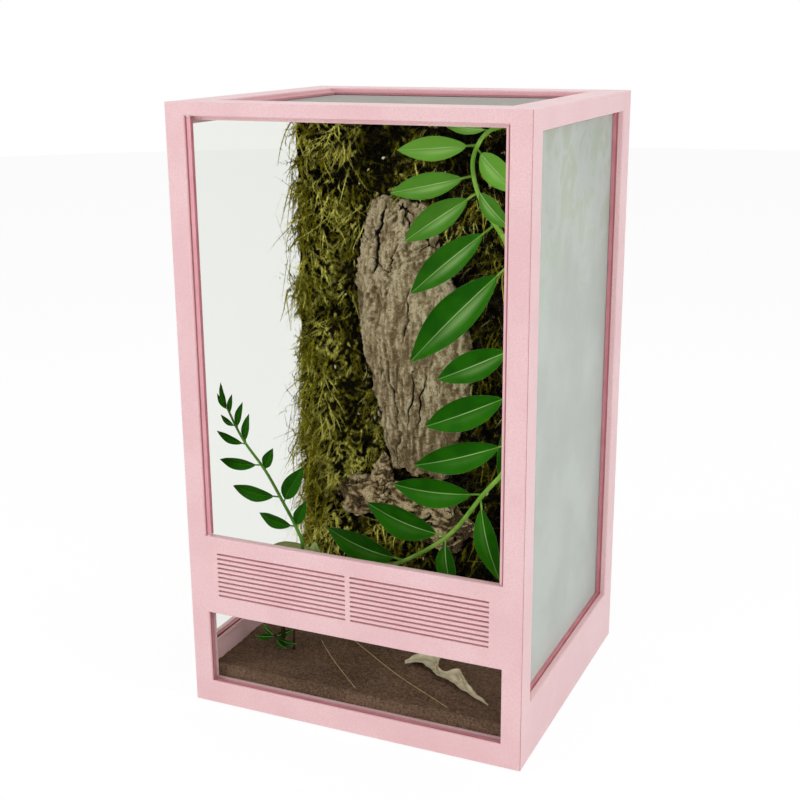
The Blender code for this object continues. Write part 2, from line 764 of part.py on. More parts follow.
def foot_places():
    inset = FIT + (BASE_WALL + BASE_LEDGE) / 2
    x = INNER_HALF_WIDTH - inset
    y = INNER_HALF_DEPTH - inset
    return (
        ("front_left_foot", -x, -y),
        ("front_right_foot", x, -y),
        ("back_left_foot", -x, y),
        ("back_right_foot", x, y),
    )


def make_base(finishes, parent):
    """The base frame ties the walls together and carries the glass floor on a ledge."""
    half_x = INNER_HALF_WIDTH - FIT
    half_y = INNER_HALF_DEPTH - FIT
    base = make_object(
        "base_frame",
        box_shape((-half_x, -half_y, WALL_FOOT), (half_x, half_y, BASE_TOP)),
        finishes["pink_plastic"],
        parent,
    )
    tray_x = half_x - BASE_WALL
    tray_y = half_y - BASE_WALL
    ledge_z = WALL_FOOT + BASE_LEDGE_HEIGHT
    cut(base, "floor_seat", box_shape((-tray_x, -tray_y, ledge_z), (tray_x, tray_y, BASE_TOP + OVERCUT)))
    sight_x = tray_x - BASE_LEDGE
    sight_y = tray_y - BASE_LEDGE
    cut(base, "floor_sight", box_shape((-sight_x, -sight_y, 0), (sight_x, sight_y, BASE_TOP)))
    for name, x, y in foot_places():
        radius = FOOT_RADIUS + FIT
        pit_top = FOOT_HEIGHT + FIT
        pit = turned_shape([(0, 0), (radius, 0), (radius, pit_top), (0, pit_top)])
        bmesh.ops.translate(pit, verts=pit.verts, vec=(x, y, 0))
        cut(base, name + "_pit", pit)
        edge = FOOT_RADIUS - WALL_FOOT / 2
        side = [(edge, 0), (FOOT_RADIUS, WALL_FOOT / 2), (FOOT_RADIUS, FOOT_HEIGHT)]
        pad = turned_shape([(0, 0), *side, (0, FOOT_HEIGHT)])
        foot = make_object(name, pad, finishes["rubber"], parent, smooth=True)
        foot.location = (x, y, 0)
    plate = box_shape(
        (-tray_x + FIT, -tray_y + FIT, BASE_PANE_BOTTOM),
        (tray_x - FIT, tray_y - FIT, BASE_PANE_BOTTOM + PANE),
    )
    make_object("floor_pane", plate, finishes["glass"], parent)


def add_screws(finishes, parent):
    """A screw into each wall at the rim and at the base, its head sunk in the frame that it holds.

    The heads of the top screws lie in the wall of the rim's recess, where the lid's frame covers them.
    """
    rim = bpy.data.objects["top_rim"]
    base = bpy.data.objects["base_frame"]
    base_middle = WALL_FOOT + BASE_LEDGE_HEIGHT / 2
    base_reach = FIT + BASE_WALL + BASE_LEDGE
    walls = {
        "front": bpy.data.objects["front_frame"],
        "right": bpy.data.objects["right_frame"],
        "back": bpy.data.objects["back_frame"],
        "left": bpy.data.objects["left_frame"],
    }
    for turns, (side, wall) in enumerate(walls.items()):
        on_end = turns % 2 == 0
        wall_face = INNER_HALF_DEPTH if on_end else INNER_HALF_WIDTH
        recess_half = RECESS_HALF_Y if on_end else RECESS_HALF_X
        for level, frame, height, head_face in (
            ("top", rim, TOP_SCREW_HEIGHT, recess_half),
            ("base", base, base_middle, wall_face - base_reach),
        ):
            turn = turns * math.pi / 2
            place = Matrix.Rotation(turn, 4, "Z") @ Vector((0, -head_face, height))
            reach = wall_face + SCREW_BITE - head_face
            name = f"{side}_{level}_screw"
            screw = make_object(name, screw_shape(reach, 0), finishes["steel"], parent, smooth=True)
            screw.location = place
            screw.rotation_euler = (math.pi / 2, 0, turn)
            for host in (frame, wall):
                clear_screw(host, name, screw, reach)


def screw_shape(reach, margin):
    """A countersunk screw along Z, its head's face at zero. The margin widens it for the hole."""
    head = SCREW_HEAD_RADIUS + margin
    shank = SCREW_RADIUS + margin
    start = FIT - margin * 6
    end = reach + margin
    return turned_shape(
        [
            (0, start),
            (head, start),
            (head, FIT + SCREW_HEAD / 2),
            (shank, FIT + SCREW_HEAD),
            (shank, end),
            (0, end),
        ],
        12,
    )


def clear_screw(host, name, screw, reach):
    hole = make_object(f"{name}_hole_in_{host.name}", screw_shape(reach, SEAT), host.data.materials[0])
    hole.location = screw.location
    hole.rotation_euler = screw.rotation_euler
    hole.hide_render = True
    hole.display_type = "WIRE"
    step = host.modifiers.new(name, "BOOLEAN")
    step.operation = "DIFFERENCE"
    step.solver = "EXACT"
    step.object = hole


def slab_shape(columns, rows, front, back, flat_back=False):
    """A closed slab between two surfaces, each a function of two shares from 0 to 1."""
    bm = bmesh.new()
    edge = [(i, 0) for i in range(columns)]
    edge += [(columns, j) for j in range(rows)]
    edge += [(i, rows) for i in range(columns, 0, -1)]
    edge += [(0, j) for j in range(rows, 0, -1)]
    spots = [(i, j) for i in range(columns + 1) for j in range(rows + 1)]
    near = {(i, j): bm.verts.new(front(i / columns, j / rows)) for i, j in spots}
    far = {(i, j): bm.verts.new(back(i / columns, j / rows)) for i, j in (edge if flat_back else spots)}
    for sheet in ([near] if flat_back else [near, far]):
        for i in range(columns):
            for j in range(rows):
                corners = ((i, j), (i + 1, j), (i + 1, j + 1), (i, j + 1))
                bm.faces.new([sheet[corner] for corner in corners])
    if flat_back:
        bm.faces.new([far[spot] for spot in edge])
    for spot, following in zip(edge, edge[1:] + edge[:1]):
        bm.faces.new((near[spot], near[following], far[following], far[spot]))
    return bm


def soil_height(x, y):
    spot = Vector((x, y, 0)) / (70 * MM)
    return SOIL_LEVEL + SOIL_ROUGHNESS * noise.noise(spot)


def moss_front(x, z):
    """How far back the moss surface lies at a place on the back wall. It thickens towards the left wall."""
    spot = Vector((x, 0, z)) / (45 * MM)
    left_share = max(0.0, -x / MOSS_HALF_WIDTH - 0.5)
    return MOSS_BACK - MOSS_THICKNESS - MOSS_ROUGHNESS * (noise.noise(spot) + left_share)


def make_soil(finishes, parent):
    half_x = INNER_HALF_WIDTH - FIT
    front_y = -INNER_HALF_DEPTH + FIT
    back_y = BOARD_FRONT - FIT

    def place(s, t):
        return -half_x + 2 * half_x * s, front_y + (back_y - front_y) * t

    def top(s, t):
        x, y = place(s, t)
        return (x, y, soil_height(x, y))

    def bottom(s, t):
        return (*place(s, t), SOIL_BOTTOM)

    slab = slab_shape(18, 15, top, bottom, flat_back=True)
    make_object("soil", slab, finishes["soil"], parent)


def make_background(finishes, parent):
    """The board stands on the base frame between the side walls, and the moss grows on it."""
    half_x = INNER_HALF_WIDTH - FIT
    low = (-half_x, BOARD_FRONT, BASE_TOP + FIT)
    high = (half_x, BOARD_FRONT + BOARD, RIM_BOTTOM - FIT)
    make_object("background_board", box_shape(low, high), finishes["board"], parent)
    moss_low = SOIL_LEVEL + SOIL_ROUGHNESS + FIT
    moss_high = RIM_BOTTOM - MOSS_TOP_GAP

    def place(s, t):
        return -MOSS_HALF_WIDTH + 2 * MOSS_HALF_WIDTH * s, moss_low + (moss_high - moss_low) * t

    def front(s, t):
        x, z = place(s, t)
        return (x, moss_front(x, z), z)

    def back(s, t):
        x, z = place(s, t)
        return (x, MOSS_BACK, z)

    slab = slab_shape(16, 28, front, back, flat_back=True)
    return make_object("moss_panel", slab, finishes["moss"], parent, smooth=True)


def along(points, share):
    """The value at a share from 0 to 1 of a list of equally spaced values, smoothly joined."""
    place = min(max(share, 0.0), 1.0) * (len(points) - 1)
    i = min(int(place), len(points) - 2)
    t = place - i
    before = points[max(i - 1, 0)]
    after = points[min(i + 2, len(points) - 1)]
    start, end = points[i], points[i + 1]
    return 0.5 * (
        2 * start
        + (end - before) * t
        + (2 * before - 5 * start + 4 * end - after) * t * t
        + (3 * start - before - 3 * end + after) * t * t * t
    )


# The bark slab, from its foot to its top: left and right edges, from the case's middle
BARK_LOW = 195 * MM
BARK_HIGH = 490 * MM
BARK_LEFT = [x * MM for x in (-52, -64, -76, -86, -92, -88, -72)]
BARK_RIGHT = [x * MM for x in (10, 24, 34, 38, 20, 2, -14)]


def bark_shape(margin):
    """A slab of cork bark that bows out from the moss. The margin widens it for the bed in the moss."""

    def place(s, t):
        z = BARK_LOW - margin + (BARK_HIGH - BARK_LOW + 2 * margin) * t
        left = along(BARK_LEFT, t) - margin
        right = along(BARK_RIGHT, t) + margin
        return left + (right - left) * s, z + BARK_RAGGED * math.sin(9 * s) * math.sin(5 * s)

    def front(s, t):
        x, z = place(s, t)
        bow = math.sin(math.pi * (0.1 + 0.8 * s)) * (0.6 + 0.4 * math.sin(math.pi * t))
        crack = 0.16 * noise.noise(Vector((s * 9, t * 6, 0)))
        return (x, MOSS_BACK - MOSS_THICKNESS - BARK_THICKNESS * (bow + crack) - 3 * MM, z)

    def back(s, t):
        x, z = place(s, t)
        return (x, MOSS_BACK - MOSS_THICKNESS + BARK_BED + margin, z)

    return slab_shape(10, 18, front, back, flat_back=True)


# Driftwood lumps in millimetres: centre across and up, half sizes across, back and up, and tilt in degrees
WOOD_LUMPS = [(-84, 160, 36, 20, 24, 12), (-66, 178, 12, 12, 32, -14), (-14, 148, 58, 16, 30, -22)]


def lump_shape(lump, margin):
    """One knobbly lump of driftwood. The margin widens it for the bed in the moss."""
    x, z, half_x, half_y, half_z, tilt = lump
    bm = bmesh.new()
    bmesh.ops.create_icosphere(bm, subdivisions=3, radius=1.0)
    turn = Matrix.Rotation(math.radians(-tilt), 3, "Y")
    centre = Vector((x * MM, MOSS_BACK - MOSS_THICKNESS - WOOD_PROUD, z * MM))
    for vertex in bm.verts:
        way = vertex.co.normalized()
        knob = 1 + WOOD_KNOBS * noise.noise(way * 1.7 + centre * 40)
        size = Vector((way.x * half_x, way.y * half_y, way.z * half_z)) * MM * knob + way * margin
        vertex.co = centre + turn @ size
    return bm


def make_wood(finishes, parent, moss):
    """The bark and the driftwood lie bedded in the moss, the driftwood below the bark."""
    bark = make_object("cork_bark", bark_shape(0), finishes["bark"], parent, smooth=True)
    wood = make_object("driftwood", lump_shape(WOOD_LUMPS[0], 0), finishes["bark"], parent, smooth=True)
    combine(wood, "lumps", [lump_shape(lump, 0) for lump in WOOD_LUMPS[1:]], "UNION")
    cut(wood, "bark_seat", bark_shape(BED_GAP))
    beds = [bark_shape(BED_GAP)] + [lump_shape(lump, BED_GAP) for lump in WOOD_LUMPS]
    combine(moss, "beds", beds, "DIFFERENCE")


def tube_into(bm, route, radius_at, sides=STEM_SIDES):
    """A capped tube along a route of points, its radius given as a function of the share along it."""
    rings = []
    for i, point in enumerate(route):
        ahead = route[min(i + 1, len(route) - 1)]
        behind = route[max(i - 1, 0)]
        way = (ahead - behind).normalized()
        across = way.cross(Vector((0, 1, 0))).normalized()
        up = across.cross(way)
        radius = radius_at(i / (len(route) - 1))
        ring = []
        for k in range(sides):
            a = math.tau * k / sides
            ring.append(bm.verts.new(point + across * radius * math.cos(a) + up * radius * math.sin(a)))
        rings.append(ring)
    for first, second in zip(rings, rings[1:]):
        for k in range(sides):
            m = (k + 1) % sides
            bm.faces.new((first[k], first[m], second[m], second[k]))
    bm.faces.new(rings[0])
    bm.faces.new(rings[-1])


def stem_shape(points, radius):
    """A tube through points chosen by hand that thins towards its end."""
    bm = bmesh.new()
    tube_into(bm, stem_line(points), lambda share: radius * (1 - STEM_TAPER * share))
    return bm


def stem_line(points):
    """A smooth line through points chosen by hand, with one more point halfway between each two."""
    steps = 2 * (len(points) - 1)
    return [point_along(points, i / steps) for i in range(steps + 1)]


def point_along(points, share):
    """The place at a share from 0 to 1 of a smooth line through points chosen by hand."""
    return Vector([along([p[k] for p in points], share) for k in range(3)])


def leaf_shape(base, angle, length, width, lean):
    """A lance-shaped leaf with a short stalk, folded along its rib.

    The angle is measured in the plane of the door, anticlockwise from +X, and a positive lean brings
    the tip forwards.
    """
    bm = bmesh.new()
    steps = 8 if length > LONG_LEAF else 5
    turn = math.radians(angle)
    way = Vector((math.cos(turn), -math.sin(math.radians(lean)), math.sin(turn))).normalized()
    across = way.cross(Vector((0, -1, 0))).normalized()
    face = across.cross(way).normalized()
    if face.y > 0:
        face.negate()
    sections = []
    for i in range(steps + 1):
        share = i / steps
        blade = (share - STALK) / (1 - STALK)
        half = LEAF_THICKNESS * (0.9 if share < 0.5 else 0.3)
        if 0 < blade < 1:
            half = max(half, width / 2 * math.sin(math.pi * blade**0.8) ** 0.9)
        middle = base + way * length * share + face * LEAF_ARCH * length * math.sin(math.pi * share)
        fold = face * half * LEAF_FOLD
        skin = face * LEAF_THICKNESS / 2
        ring = [
            middle - across * half + fold - skin,
            middle - skin,
            middle + across * half + fold - skin,
            middle + across * half + fold + skin,
            middle + skin,
            middle - across * half + fold + skin,
        ]
        sections.append([bm.verts.new(p) for p in ring])
    for first, second in zip(sections, sections[1:]):
        for k in range(6):
            m = (k + 1) % 6
            bm.faces.new((first[k], first[m], second[m], second[k]))
    for end in (sections[0], sections[-1]):
        bm.faces.new((end[0], end[1], end[4], end[5]))
        bm.faces.new((end[1], end[2], end[3], end[4]))
    return bm


def combine(piece, name, shapes, operation):
    """Joins several shapes to a piece, or cuts them out of it, in one step."""
    group = bpy.data.collections.new(f"{piece.name}_{name}")
    bpy.context.scene.collection.children.link(group)
    for i, shape in enumerate(shapes):
        tool = make_object(f"{piece.name}_{name}_{i + 1}", shape, piece.data.materials[0])
        bpy.context.scene.collection.objects.unlink(tool)
        group.objects.link(tool)
        tool.hide_render = True
        tool.display_type = "WIRE"
    step = piece.modifiers.new(name, "BOOLEAN")
    step.operation = operation
    step.solver = "EXACT"
    step.operand_type = "COLLECTION"
    step.collection = group


# Plants and litter, in millimetres, chosen by eye.
# A stem is a list of points: distance from a side of the door opening, distance behind the planting's
# front line, height.
# A leaf is its place along the stem, its angle, length and width, and its lean in degrees.
CLIMBER_STEM = [
    (29, 89, 30), (22, 82, 90), (21, 77, 180), (25, 75, 270), (23, 77, 350), (22, 77, 420),
    (34, 77, 472), (58, 77, 508), (68, 77, 544), (58, 79, 570), (39, 81, 579),
]
CLIMBER_LEAVES = [
    (0.93, 175, 44, 12, 2), (0.86, 185, 78, 25, 2), (0.77, 193, 84, 26, 1), (0.73, 214, 86, 29, 2),
    (0.65, 220, 108, 31, 1), (0.57, 226, 141, 40, 3), (0.44, 206, 88, 32, 2), (0.38, 205, 100, 35, 1),
    (0.32, 199, 105, 33, 2), (0.85, -41, 58, 28, 4), (0.74, -44, 50, 20, 6), (0.38, -97, 130, 20, -14),
]
BRANCH_STEM = [(24, 76, 285), (33, 75, 258), (53, 73, 232), (87, 71, 186), (133, 71, 152), (157, 73, 142)]
BRANCH_LEAVES = [
    (0.40, 181, 94, 34, 1), (0.61, 164, 88, 37, 2), (0.81, 165, 88, 35, 1), (0.42, -74, 84, 27, 3),
    (0.62, -80, 52, 24, 4),
]
SPRIG_STEM = [
    (43, 53, 30), (49, 47, 76), (73, 29, 126), (95, 7, 176), (89, 7, 196),
    (76, 7, 219), (57, 7, 250), (37, 7, 274), (26, 7, 291), (17, 7, 309),
]
SPRIG_LEAVES = [
    (0.45, 169, 42, 16, -2), (0.58, 176, 54, 18, -2), (0.69, 181, 48, 14, -2), (0.78, 164, 35, 10, -2),
    (0.89, 149, 20, 7, -2), (0.98, 128, 20, 6, -2), (0.45, 67, 30, 13, -2), (0.56, 60, 45, 19, -2),
    (0.67, 69, 25, 12, -2), (0.79, 81, 30, 9, -2), (0.88, 76, 28, 8, -2), (0.96, 82, 20, 6, -2),
    (0.99, 106, 27, 7, -2),
]
PALE_STEM = [(57, 51, 30), (60, 50, 70), (77, 43, 120), (101, 37, 157)]
PALE_LEAVES = [(0.97, 178, 52, 26, 6), (0.88, 100, 22, 20, -10)]
GROUND_STEM = [(31, 59, 30), (31, 59, 36), (31, 59, 42), (31, 59, 47)]
GROUND_LEAVES = [
    (0.9, 160, 20, 9, 30), (0.9, 12, 26, 10, 40), (0.9, 60, 18, 8, 20), (0.9, 115, 16, 8, -20),
    (0.9, -6, 20, 9, -25),
]
LEFT_STRAW = [(77, 76), (154, -2)]
RIGHT_STRAW = [(109, 90), (251, -2)]
DEAD_LEAF = [(139, 80), (29, 26)]


def inside(side, point):
    """Turns distances from a side of the door opening (-1 left, 1 right) and behind the planting's
    front line into a place.
    """
    place = Vector(point) * MM
    place.x = side * (DOOR_HALF_WIDTH - place.x)
    place.y += PLANTING_FRONT - HALF_DEPTH
    return place


def grow(side, stem_points):
    """A stem's points in the case. The tallest plant fills the case, so heights follow the case's height."""
    stretch = (RIM_BOTTOM - SOIL_LEVEL) / PLANT_REACH
    route = [inside(side, point) for point in stem_points]
    for place in route:
        place.z = SOIL_LEVEL + (place.z - SOIL_LEVEL) * stretch
    return route


def make_plant(name, side, stems, radius, finish, parent):
    """A plant from one or more stems, each with its leaves. The first one is rooted in the soil."""
    shapes = []
    for points, leaves in stems:
        route = grow(side, points)
        shapes.append(stem_shape(route, radius))
        for share, angle, length, width, lean in leaves:
            base = point_along(route, share)
            shapes.append(leaf_shape(base, angle, length * MM, width * MM, lean))
    plant = make_object(name, shapes[0], finish, parent, smooth=True)
    combine(plant, "growth", shapes[1:], "UNION")
    line = stem_line(grow(side, stems[0][0]))
    buried = [place for place in line if place.z < SOIL_LEVEL + SOIL_ROUGHNESS]
    line = line[: len(buried) + 2]
    line[0] -= Vector((0, 0, FIT))
    hole = bmesh.new()
    tube_into(hole, line, lambda share: radius + ROOT_GAP, 12)
    cut(bpy.data.objects["soil"], name + "_root_hole", hole)


def make_straw(name, ends, finish, parent):
    start, end = [inside(-1, (*end, 0)) for end in ends]
    lift = STRAW_RADIUS + REST_GAP
    route = []
    for i in range(STRAW_STEPS + 1):
        x, y, _ = start.lerp(end, i / STRAW_STEPS)
        route.append(Vector((x, y, soil_height(x, y) + lift)))
    bm = bmesh.new()
    tube_into(bm, route, lambda share: STRAW_RADIUS)
    make_object(name, bm, finish, parent, smooth=True)


def make_dead_leaf(finish, parent):
    """A dry leaf that lies on the soil with its edges curled up."""
    start, end = [inside(1, (*end, 0)) for end in DEAD_LEAF]
    way = (end - start).normalized()
    across = Vector((-way.y, way.x, 0)) * DEAD_LEAF_WIDTH / 2

    def under(s, t):
        taper = math.sin(math.pi * (0.06 + 0.88 * s))
        x, y, _ = start.lerp(end, s) + across * taper * (2 * t - 1)
        rise = DEAD_LEAF_CURL * (2 * t - 1) ** 2 * math.sin(math.pi * s)
        return x, y, soil_height(x, y) + REST_GAP + rise

    def over(s, t):
        x, y, z = under(s, t)
        return x, y, z + LEAF_THICKNESS

    make_object("dead_leaf", slab_shape(12, 4, over, under), finish, parent, smooth=True)


def make_plants(finishes, parent):
    leaf = finishes["leaf"]
    climber = [(CLIMBER_STEM, CLIMBER_LEAVES), (BRANCH_STEM, BRANCH_LEAVES)]
    make_plant("climber", 1, climber, STEM_RADIUS, leaf, parent)
    make_plant("door_sprig", -1, [(SPRIG_STEM, SPRIG_LEAVES)], STEM_RADIUS, leaf, parent)
    pale = [(PALE_STEM, PALE_LEAVES)]
    make_plant("pale_sprig", -1, pale, SMALL_STEM_RADIUS, finishes["pale_leaf"], parent)
    make_plant("ground_plant", -1, [(GROUND_STEM, GROUND_LEAVES)], SMALL_STEM_RADIUS, leaf, parent)
    make_straw("dry_straw_left", LEFT_STRAW, finishes["dry_leaf"], parent)
    make_straw("dry_straw_right", RIGHT_STRAW, finishes["dry_leaf"], parent)
    make_dead_leaf(finishes["dry_leaf"], parent)


def main():
    clear_scene()
    finishes = make_finishes()
    case = make_empty("case", (0, 0, 0))
    hinge_axis = make_empty("door_hinge_axis", (HINGE_X, HINGE_Y, 0))
    lid_seat = make_empty("lid_seat", (0, 0, LID_BOTTOM))

    make_front(finishes, case)
    for name, outline, turns, distance, stile, length, glazing in (
        ("right", side_wall_outline(), 1, HALF_WIDTH, SIDE_STILE, DEPTH, SIDE_GLAZING),
        ("back", end_wall_outline(), 2, HALF_DEPTH, BACK_STILE, WIDTH, END_GLAZING),
        ("left", side_wall_outline(), 3, HALF_WIDTH, SIDE_STILE, DEPTH, SIDE_GLAZING),
    ):
        make_pane_wall(name, outline, turns, distance, stile, length, glazing, finishes, case)
    make_rim(finishes, case)
    make_base(finishes, case)
    add_screws(finishes, case)
    make_door(finishes, hinge_axis)
    make_lid(finishes, lid_seat)
    make_soil(finishes, case)
    moss = make_background(finishes, case)
    make_wood(finishes, case, moss)
    make_plants(finishes, case)


main()
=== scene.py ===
"""Looks for the planted glass terrarium: finishes, moss, bark, leaves, wire mesh, light and camera.

Metres, +Z up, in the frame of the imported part, which is all that is read here.
"""

import random
from math import cos, exp, pi, radians, sin, tau

import bmesh
import bpy
import numpy as np
from mathutils import Matrix, Vector, noise
from mathutils.bvhtree import BVHTree


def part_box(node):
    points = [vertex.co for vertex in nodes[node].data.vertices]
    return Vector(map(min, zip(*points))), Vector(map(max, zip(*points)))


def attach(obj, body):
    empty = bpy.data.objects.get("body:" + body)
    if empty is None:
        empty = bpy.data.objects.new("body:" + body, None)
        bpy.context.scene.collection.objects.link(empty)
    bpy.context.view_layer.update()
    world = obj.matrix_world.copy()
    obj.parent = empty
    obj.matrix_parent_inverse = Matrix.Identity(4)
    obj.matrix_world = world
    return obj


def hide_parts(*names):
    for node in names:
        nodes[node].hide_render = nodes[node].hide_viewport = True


MM = 0.001

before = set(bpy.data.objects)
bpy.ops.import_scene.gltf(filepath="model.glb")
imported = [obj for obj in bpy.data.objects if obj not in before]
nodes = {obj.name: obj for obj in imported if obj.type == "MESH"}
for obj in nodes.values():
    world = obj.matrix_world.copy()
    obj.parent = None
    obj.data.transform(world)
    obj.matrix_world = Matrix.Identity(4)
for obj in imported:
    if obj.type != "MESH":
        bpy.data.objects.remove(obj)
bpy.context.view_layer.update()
scene = bpy.context.scene

DOOR_HALF_WIDTH = 155 * MM
PLANTING_LINE = -137 * MM
INNER_HALF_WIDTH = 159.5 * MM

# Without a seed, noise_vector takes its offsets from the clock
NOISE_SEED = 4
noise.seed_set(NOISE_SEED)


# Helpers for shader nodes. Sizes and depths in them are in millimetres.

WHITE = (1, 1, 1, 1)
EVEN = (1, 1, 1)
finishes = {}


def srgb(red, green, blue):
    """Turns a colour as it looks on screen, 0 to 255, into linear values."""
    shares = [channel / 255 for channel in (red, green, blue)]
    return [s / 12.92 if s <= 0.04045 else ((s + 0.055) / 1.055) ** 2.4 for s in shares] + [1.0]


def set_inputs(tree, node, values):
    """Each value is a number or colour, or an output of another node."""
    for name, value in values.items():
        if isinstance(value, bpy.types.NodeSocket):
            tree.links.new(value, node.inputs[name])
        else:
            node.inputs[name].default_value = value


def add(tree, kind, inputs=None, **settings):
    made = tree.nodes.new("ShaderNode" + kind)
    for name, value in settings.items():
        setattr(made, name, value)
    set_inputs(tree, made, inputs or {})
    return made


def start_material(name):
    """Adds a finish with a Principled shader and hands over its nodes."""
    finishes[name] = bpy.data.materials.new(name)
    finishes[name].use_nodes = True
    return finishes[name].node_tree


def object_place(tree, stretch=EVEN):
    """Coordinates on the piece, squeezed along an axis where its stretch is under 1."""
    place = add(tree, "TexCoord").outputs["Object"]
    if stretch == EVEN:
        return place
    return add(tree, "Mapping", {"Vector": place, "Scale": stretch}).outputs["Vector"]


def mottle(tree, size, detail=2.0, stretch=EVEN, distortion=0.0):
    """Soft noise with features about as large as the size."""
    values = {"Vector": object_place(tree, stretch), "Scale": 1 / (size * MM)}
    values |= {"Detail": detail, "Distortion": distortion}
    return add(tree, "TexNoise", values).outputs["Fac"]


def cells(tree, size):
    """Rounded cells with middles about as far apart as the size."""
    values = {"Vector": object_place(tree), "Scale": 1 / (size * MM)}
    return add(tree, "TexVoronoi", values, feature="SMOOTH_F1").outputs["Distance"]


def spread(tree, value, low=0.3, high=0.7, start=0.0, end=1.0):
    """Maps a value from low..high to start..end with smooth ends."""
    inputs = {"Value": value, "From Min": low, "From Max": high, "To Min": start, "To Max": end}
    return add(tree, "MapRange", inputs, interpolation_type="SMOOTHSTEP").outputs["Result"]


def blend(tree, share, first, second):
    """Mixes two colours. A tuple is a colour as it looks on screen."""
    colours = [srgb(*colour) if isinstance(colour, tuple) else colour for colour in (first, second)]
    inputs = {0: share, 6: colours[0], 7: colours[1]}
    return add(tree, "Mix", inputs, data_type="RGBA").outputs[2]


def layer(tree, value, low, high, under, over, most=1.0):
    """Covers a colour with another by up to the most, where a value rises from low to high."""
    return blend(tree, spread(tree, value, low, high, 0.0, most), under, over)


def calculate(tree, operation, first, second=0.0):
    return add(tree, "Math", {0: first, 1: second}, operation=operation).outputs[0]


def times(tree, first, second):
    return calculate(tree, "MULTIPLY", first, second)


def attribute(tree, name):
    """A number that the piece's points carry."""
    return add(tree, "Attribute", attribute_name=name).outputs["Fac"]


def dress(tree, colour, roughness, bumps, specular=0.5, metal=0.0):
    """Sets up the Principled shader. A bump is a height from 0 to 1 and its depth."""
    normal = None
    for height, depth in bumps:
        inputs = {"Height": height, "Distance": depth * MM}
        if normal:
            inputs["Normal"] = normal
        normal = add(tree, "Bump", inputs).outputs["Normal"]
    inputs = {"Base Color": colour, "Roughness": roughness, "Normal": normal, "Metallic": metal}
    inputs["Specular IOR Level"] = specular
    set_inputs(tree, tree.nodes["Principled BSDF"], inputs)


def mix_shaders(tree, share, first, second):
    return add(tree, "MixShader", {0: share, 1: first.outputs[0], 2: second.outputs[0]})


def set_surface(tree, shader):
    """Shows a shader. The Principled one goes unless it is part of it."""
    tree.links.new(shader.outputs[0], tree.nodes["Material Output"].inputs["Surface"])
    if not tree.nodes["Principled BSDF"].outputs[0].is_linked:
        tree.nodes.remove(tree.nodes["Principled BSDF"])


# Finishes

# Darker and lighter colour, size of the patches, least and most roughness, size and depth of the grain, and
# the share of metal where there is some
MOTTLED = {
    "gasket": ((194, 122, 131), (206, 134, 142), 20, (0.5, 0.65), (1.2, 0.05)),
    "pink_metal": ((226, 178, 183), (234, 188, 192), 30, (0.3, 0.4), (0.8, 0.02), 0.2),
    # A darker rose copy of the pink metal, for the hinge stile: painted shade of the door's reveal
    "rose_metal": ((212, 148, 156), (222, 160, 168), 30, (0.35, 0.45), (0.8, 0.02), 0.2),
    "screen": ((222, 118, 128), (232, 130, 138), 4, (0.6, 0.75), (1.0, 0.3)),
    "nylon": ((228, 224, 216), (238, 235, 228), 5, (0.35, 0.5), (0.6, 0.02)),
    "magnet": ((70, 70, 72), (96, 96, 98), 5, (0.35, 0.5), (0.5, 0.02), 0.8),
    "rubber": ((38, 36, 36), (54, 52, 52), 6, (0.75, 0.9), (0.7, 0.06)),
    "board": ((70, 54, 40), (104, 82, 62), 12, (0.85, 0.98), (2.5, 0.5)),
    "dry": ((196, 182, 148), (226, 214, 184), 9, (0.7, 0.85), (1.4, 0.25)),
    "straw": ((150, 126, 82), (186, 162, 112), 9, (0.6, 0.75), (0.6, 0.08)),
    "fibre": ((112, 90, 70), (142, 116, 92), 9, (0.8, 0.95), (0.6, 0.08)),
    "chip": ((206, 196, 168), (236, 230, 210), 5, (0.7, 0.85), (0.8, 0.08)),
}
GRAZING_POWER = 5.0
GRAZING_SHARE = 0.35
VEIN_SLANT = 1.15
VEINS_PER_MM = 2.1
STEM_RIDGES = 9.0


def make_mottled(name, dark, light, size, roughness, grain, metal=0.0):
    """A finish with soft colour patches, a varying roughness and a grain."""
    tree = start_material(name)
    colour = blend(tree, spread(tree, mottle(tree, size, 3.0)), dark, light)
    shine = spread(tree, mottle(tree, size / 3), 0.3, 0.7, *roughness)
    dress(tree, colour, shine, [(cells(tree, grain[0]), grain[1])], metal=metal)


def make_plastic(name, light, dark):
    """Moulded plastic with a fine leather grain."""
    tree = start_material(name)
    patches = spread(tree, mottle(tree, 60, 3.0))
    pores = spread(tree, cells(tree, 1.5), 0.1, 0.75)
    speckle = spread(tree, mottle(tree, 1.1), 0.4, 0.7)
    base = blend(tree, times(tree, patches, 0.5), light, dark)
    grained = blend(tree, times(tree, pores, 0.55), base, dark)
    shade = blend(tree, times(tree, speckle, 0.5), grained, dark)
    bumps = [(mottle(tree, 25), 0.1), (cells(tree, 1.5), 0.09)]
    dress(tree, shade, spread(tree, speckle, 0.0, 1.0, 0.32, 0.42), bumps)


def add_gloss(tree, under, roughness):
    """A reflection over a shader, weak face on and a third edge on, the same from both sides."""
    facing = add(tree, "LayerWeight", {"Blend": 0.5}).outputs["Facing"]
    share = times(tree, calculate(tree, "POWER", facing, GRAZING_POWER), GRAZING_SHARE)
    gloss = add(tree, "BsdfGlossy", {"Color": WHITE, "Roughness": roughness})
    return mix_shaders(tree, share, under, gloss)


def make_clear_glass(name, tint):
    """Thin clear glass with a weak reflection and a faint tint."""
    tree = start_material(name)
    through = add(tree, "BsdfTransparent", {"Color": tint})
    smudges = spread(tree, mottle(tree, 40, 4.0), 0.35, 0.75, 0.02, 0.09)
    set_surface(tree, add_gloss(tree, through, smudges))


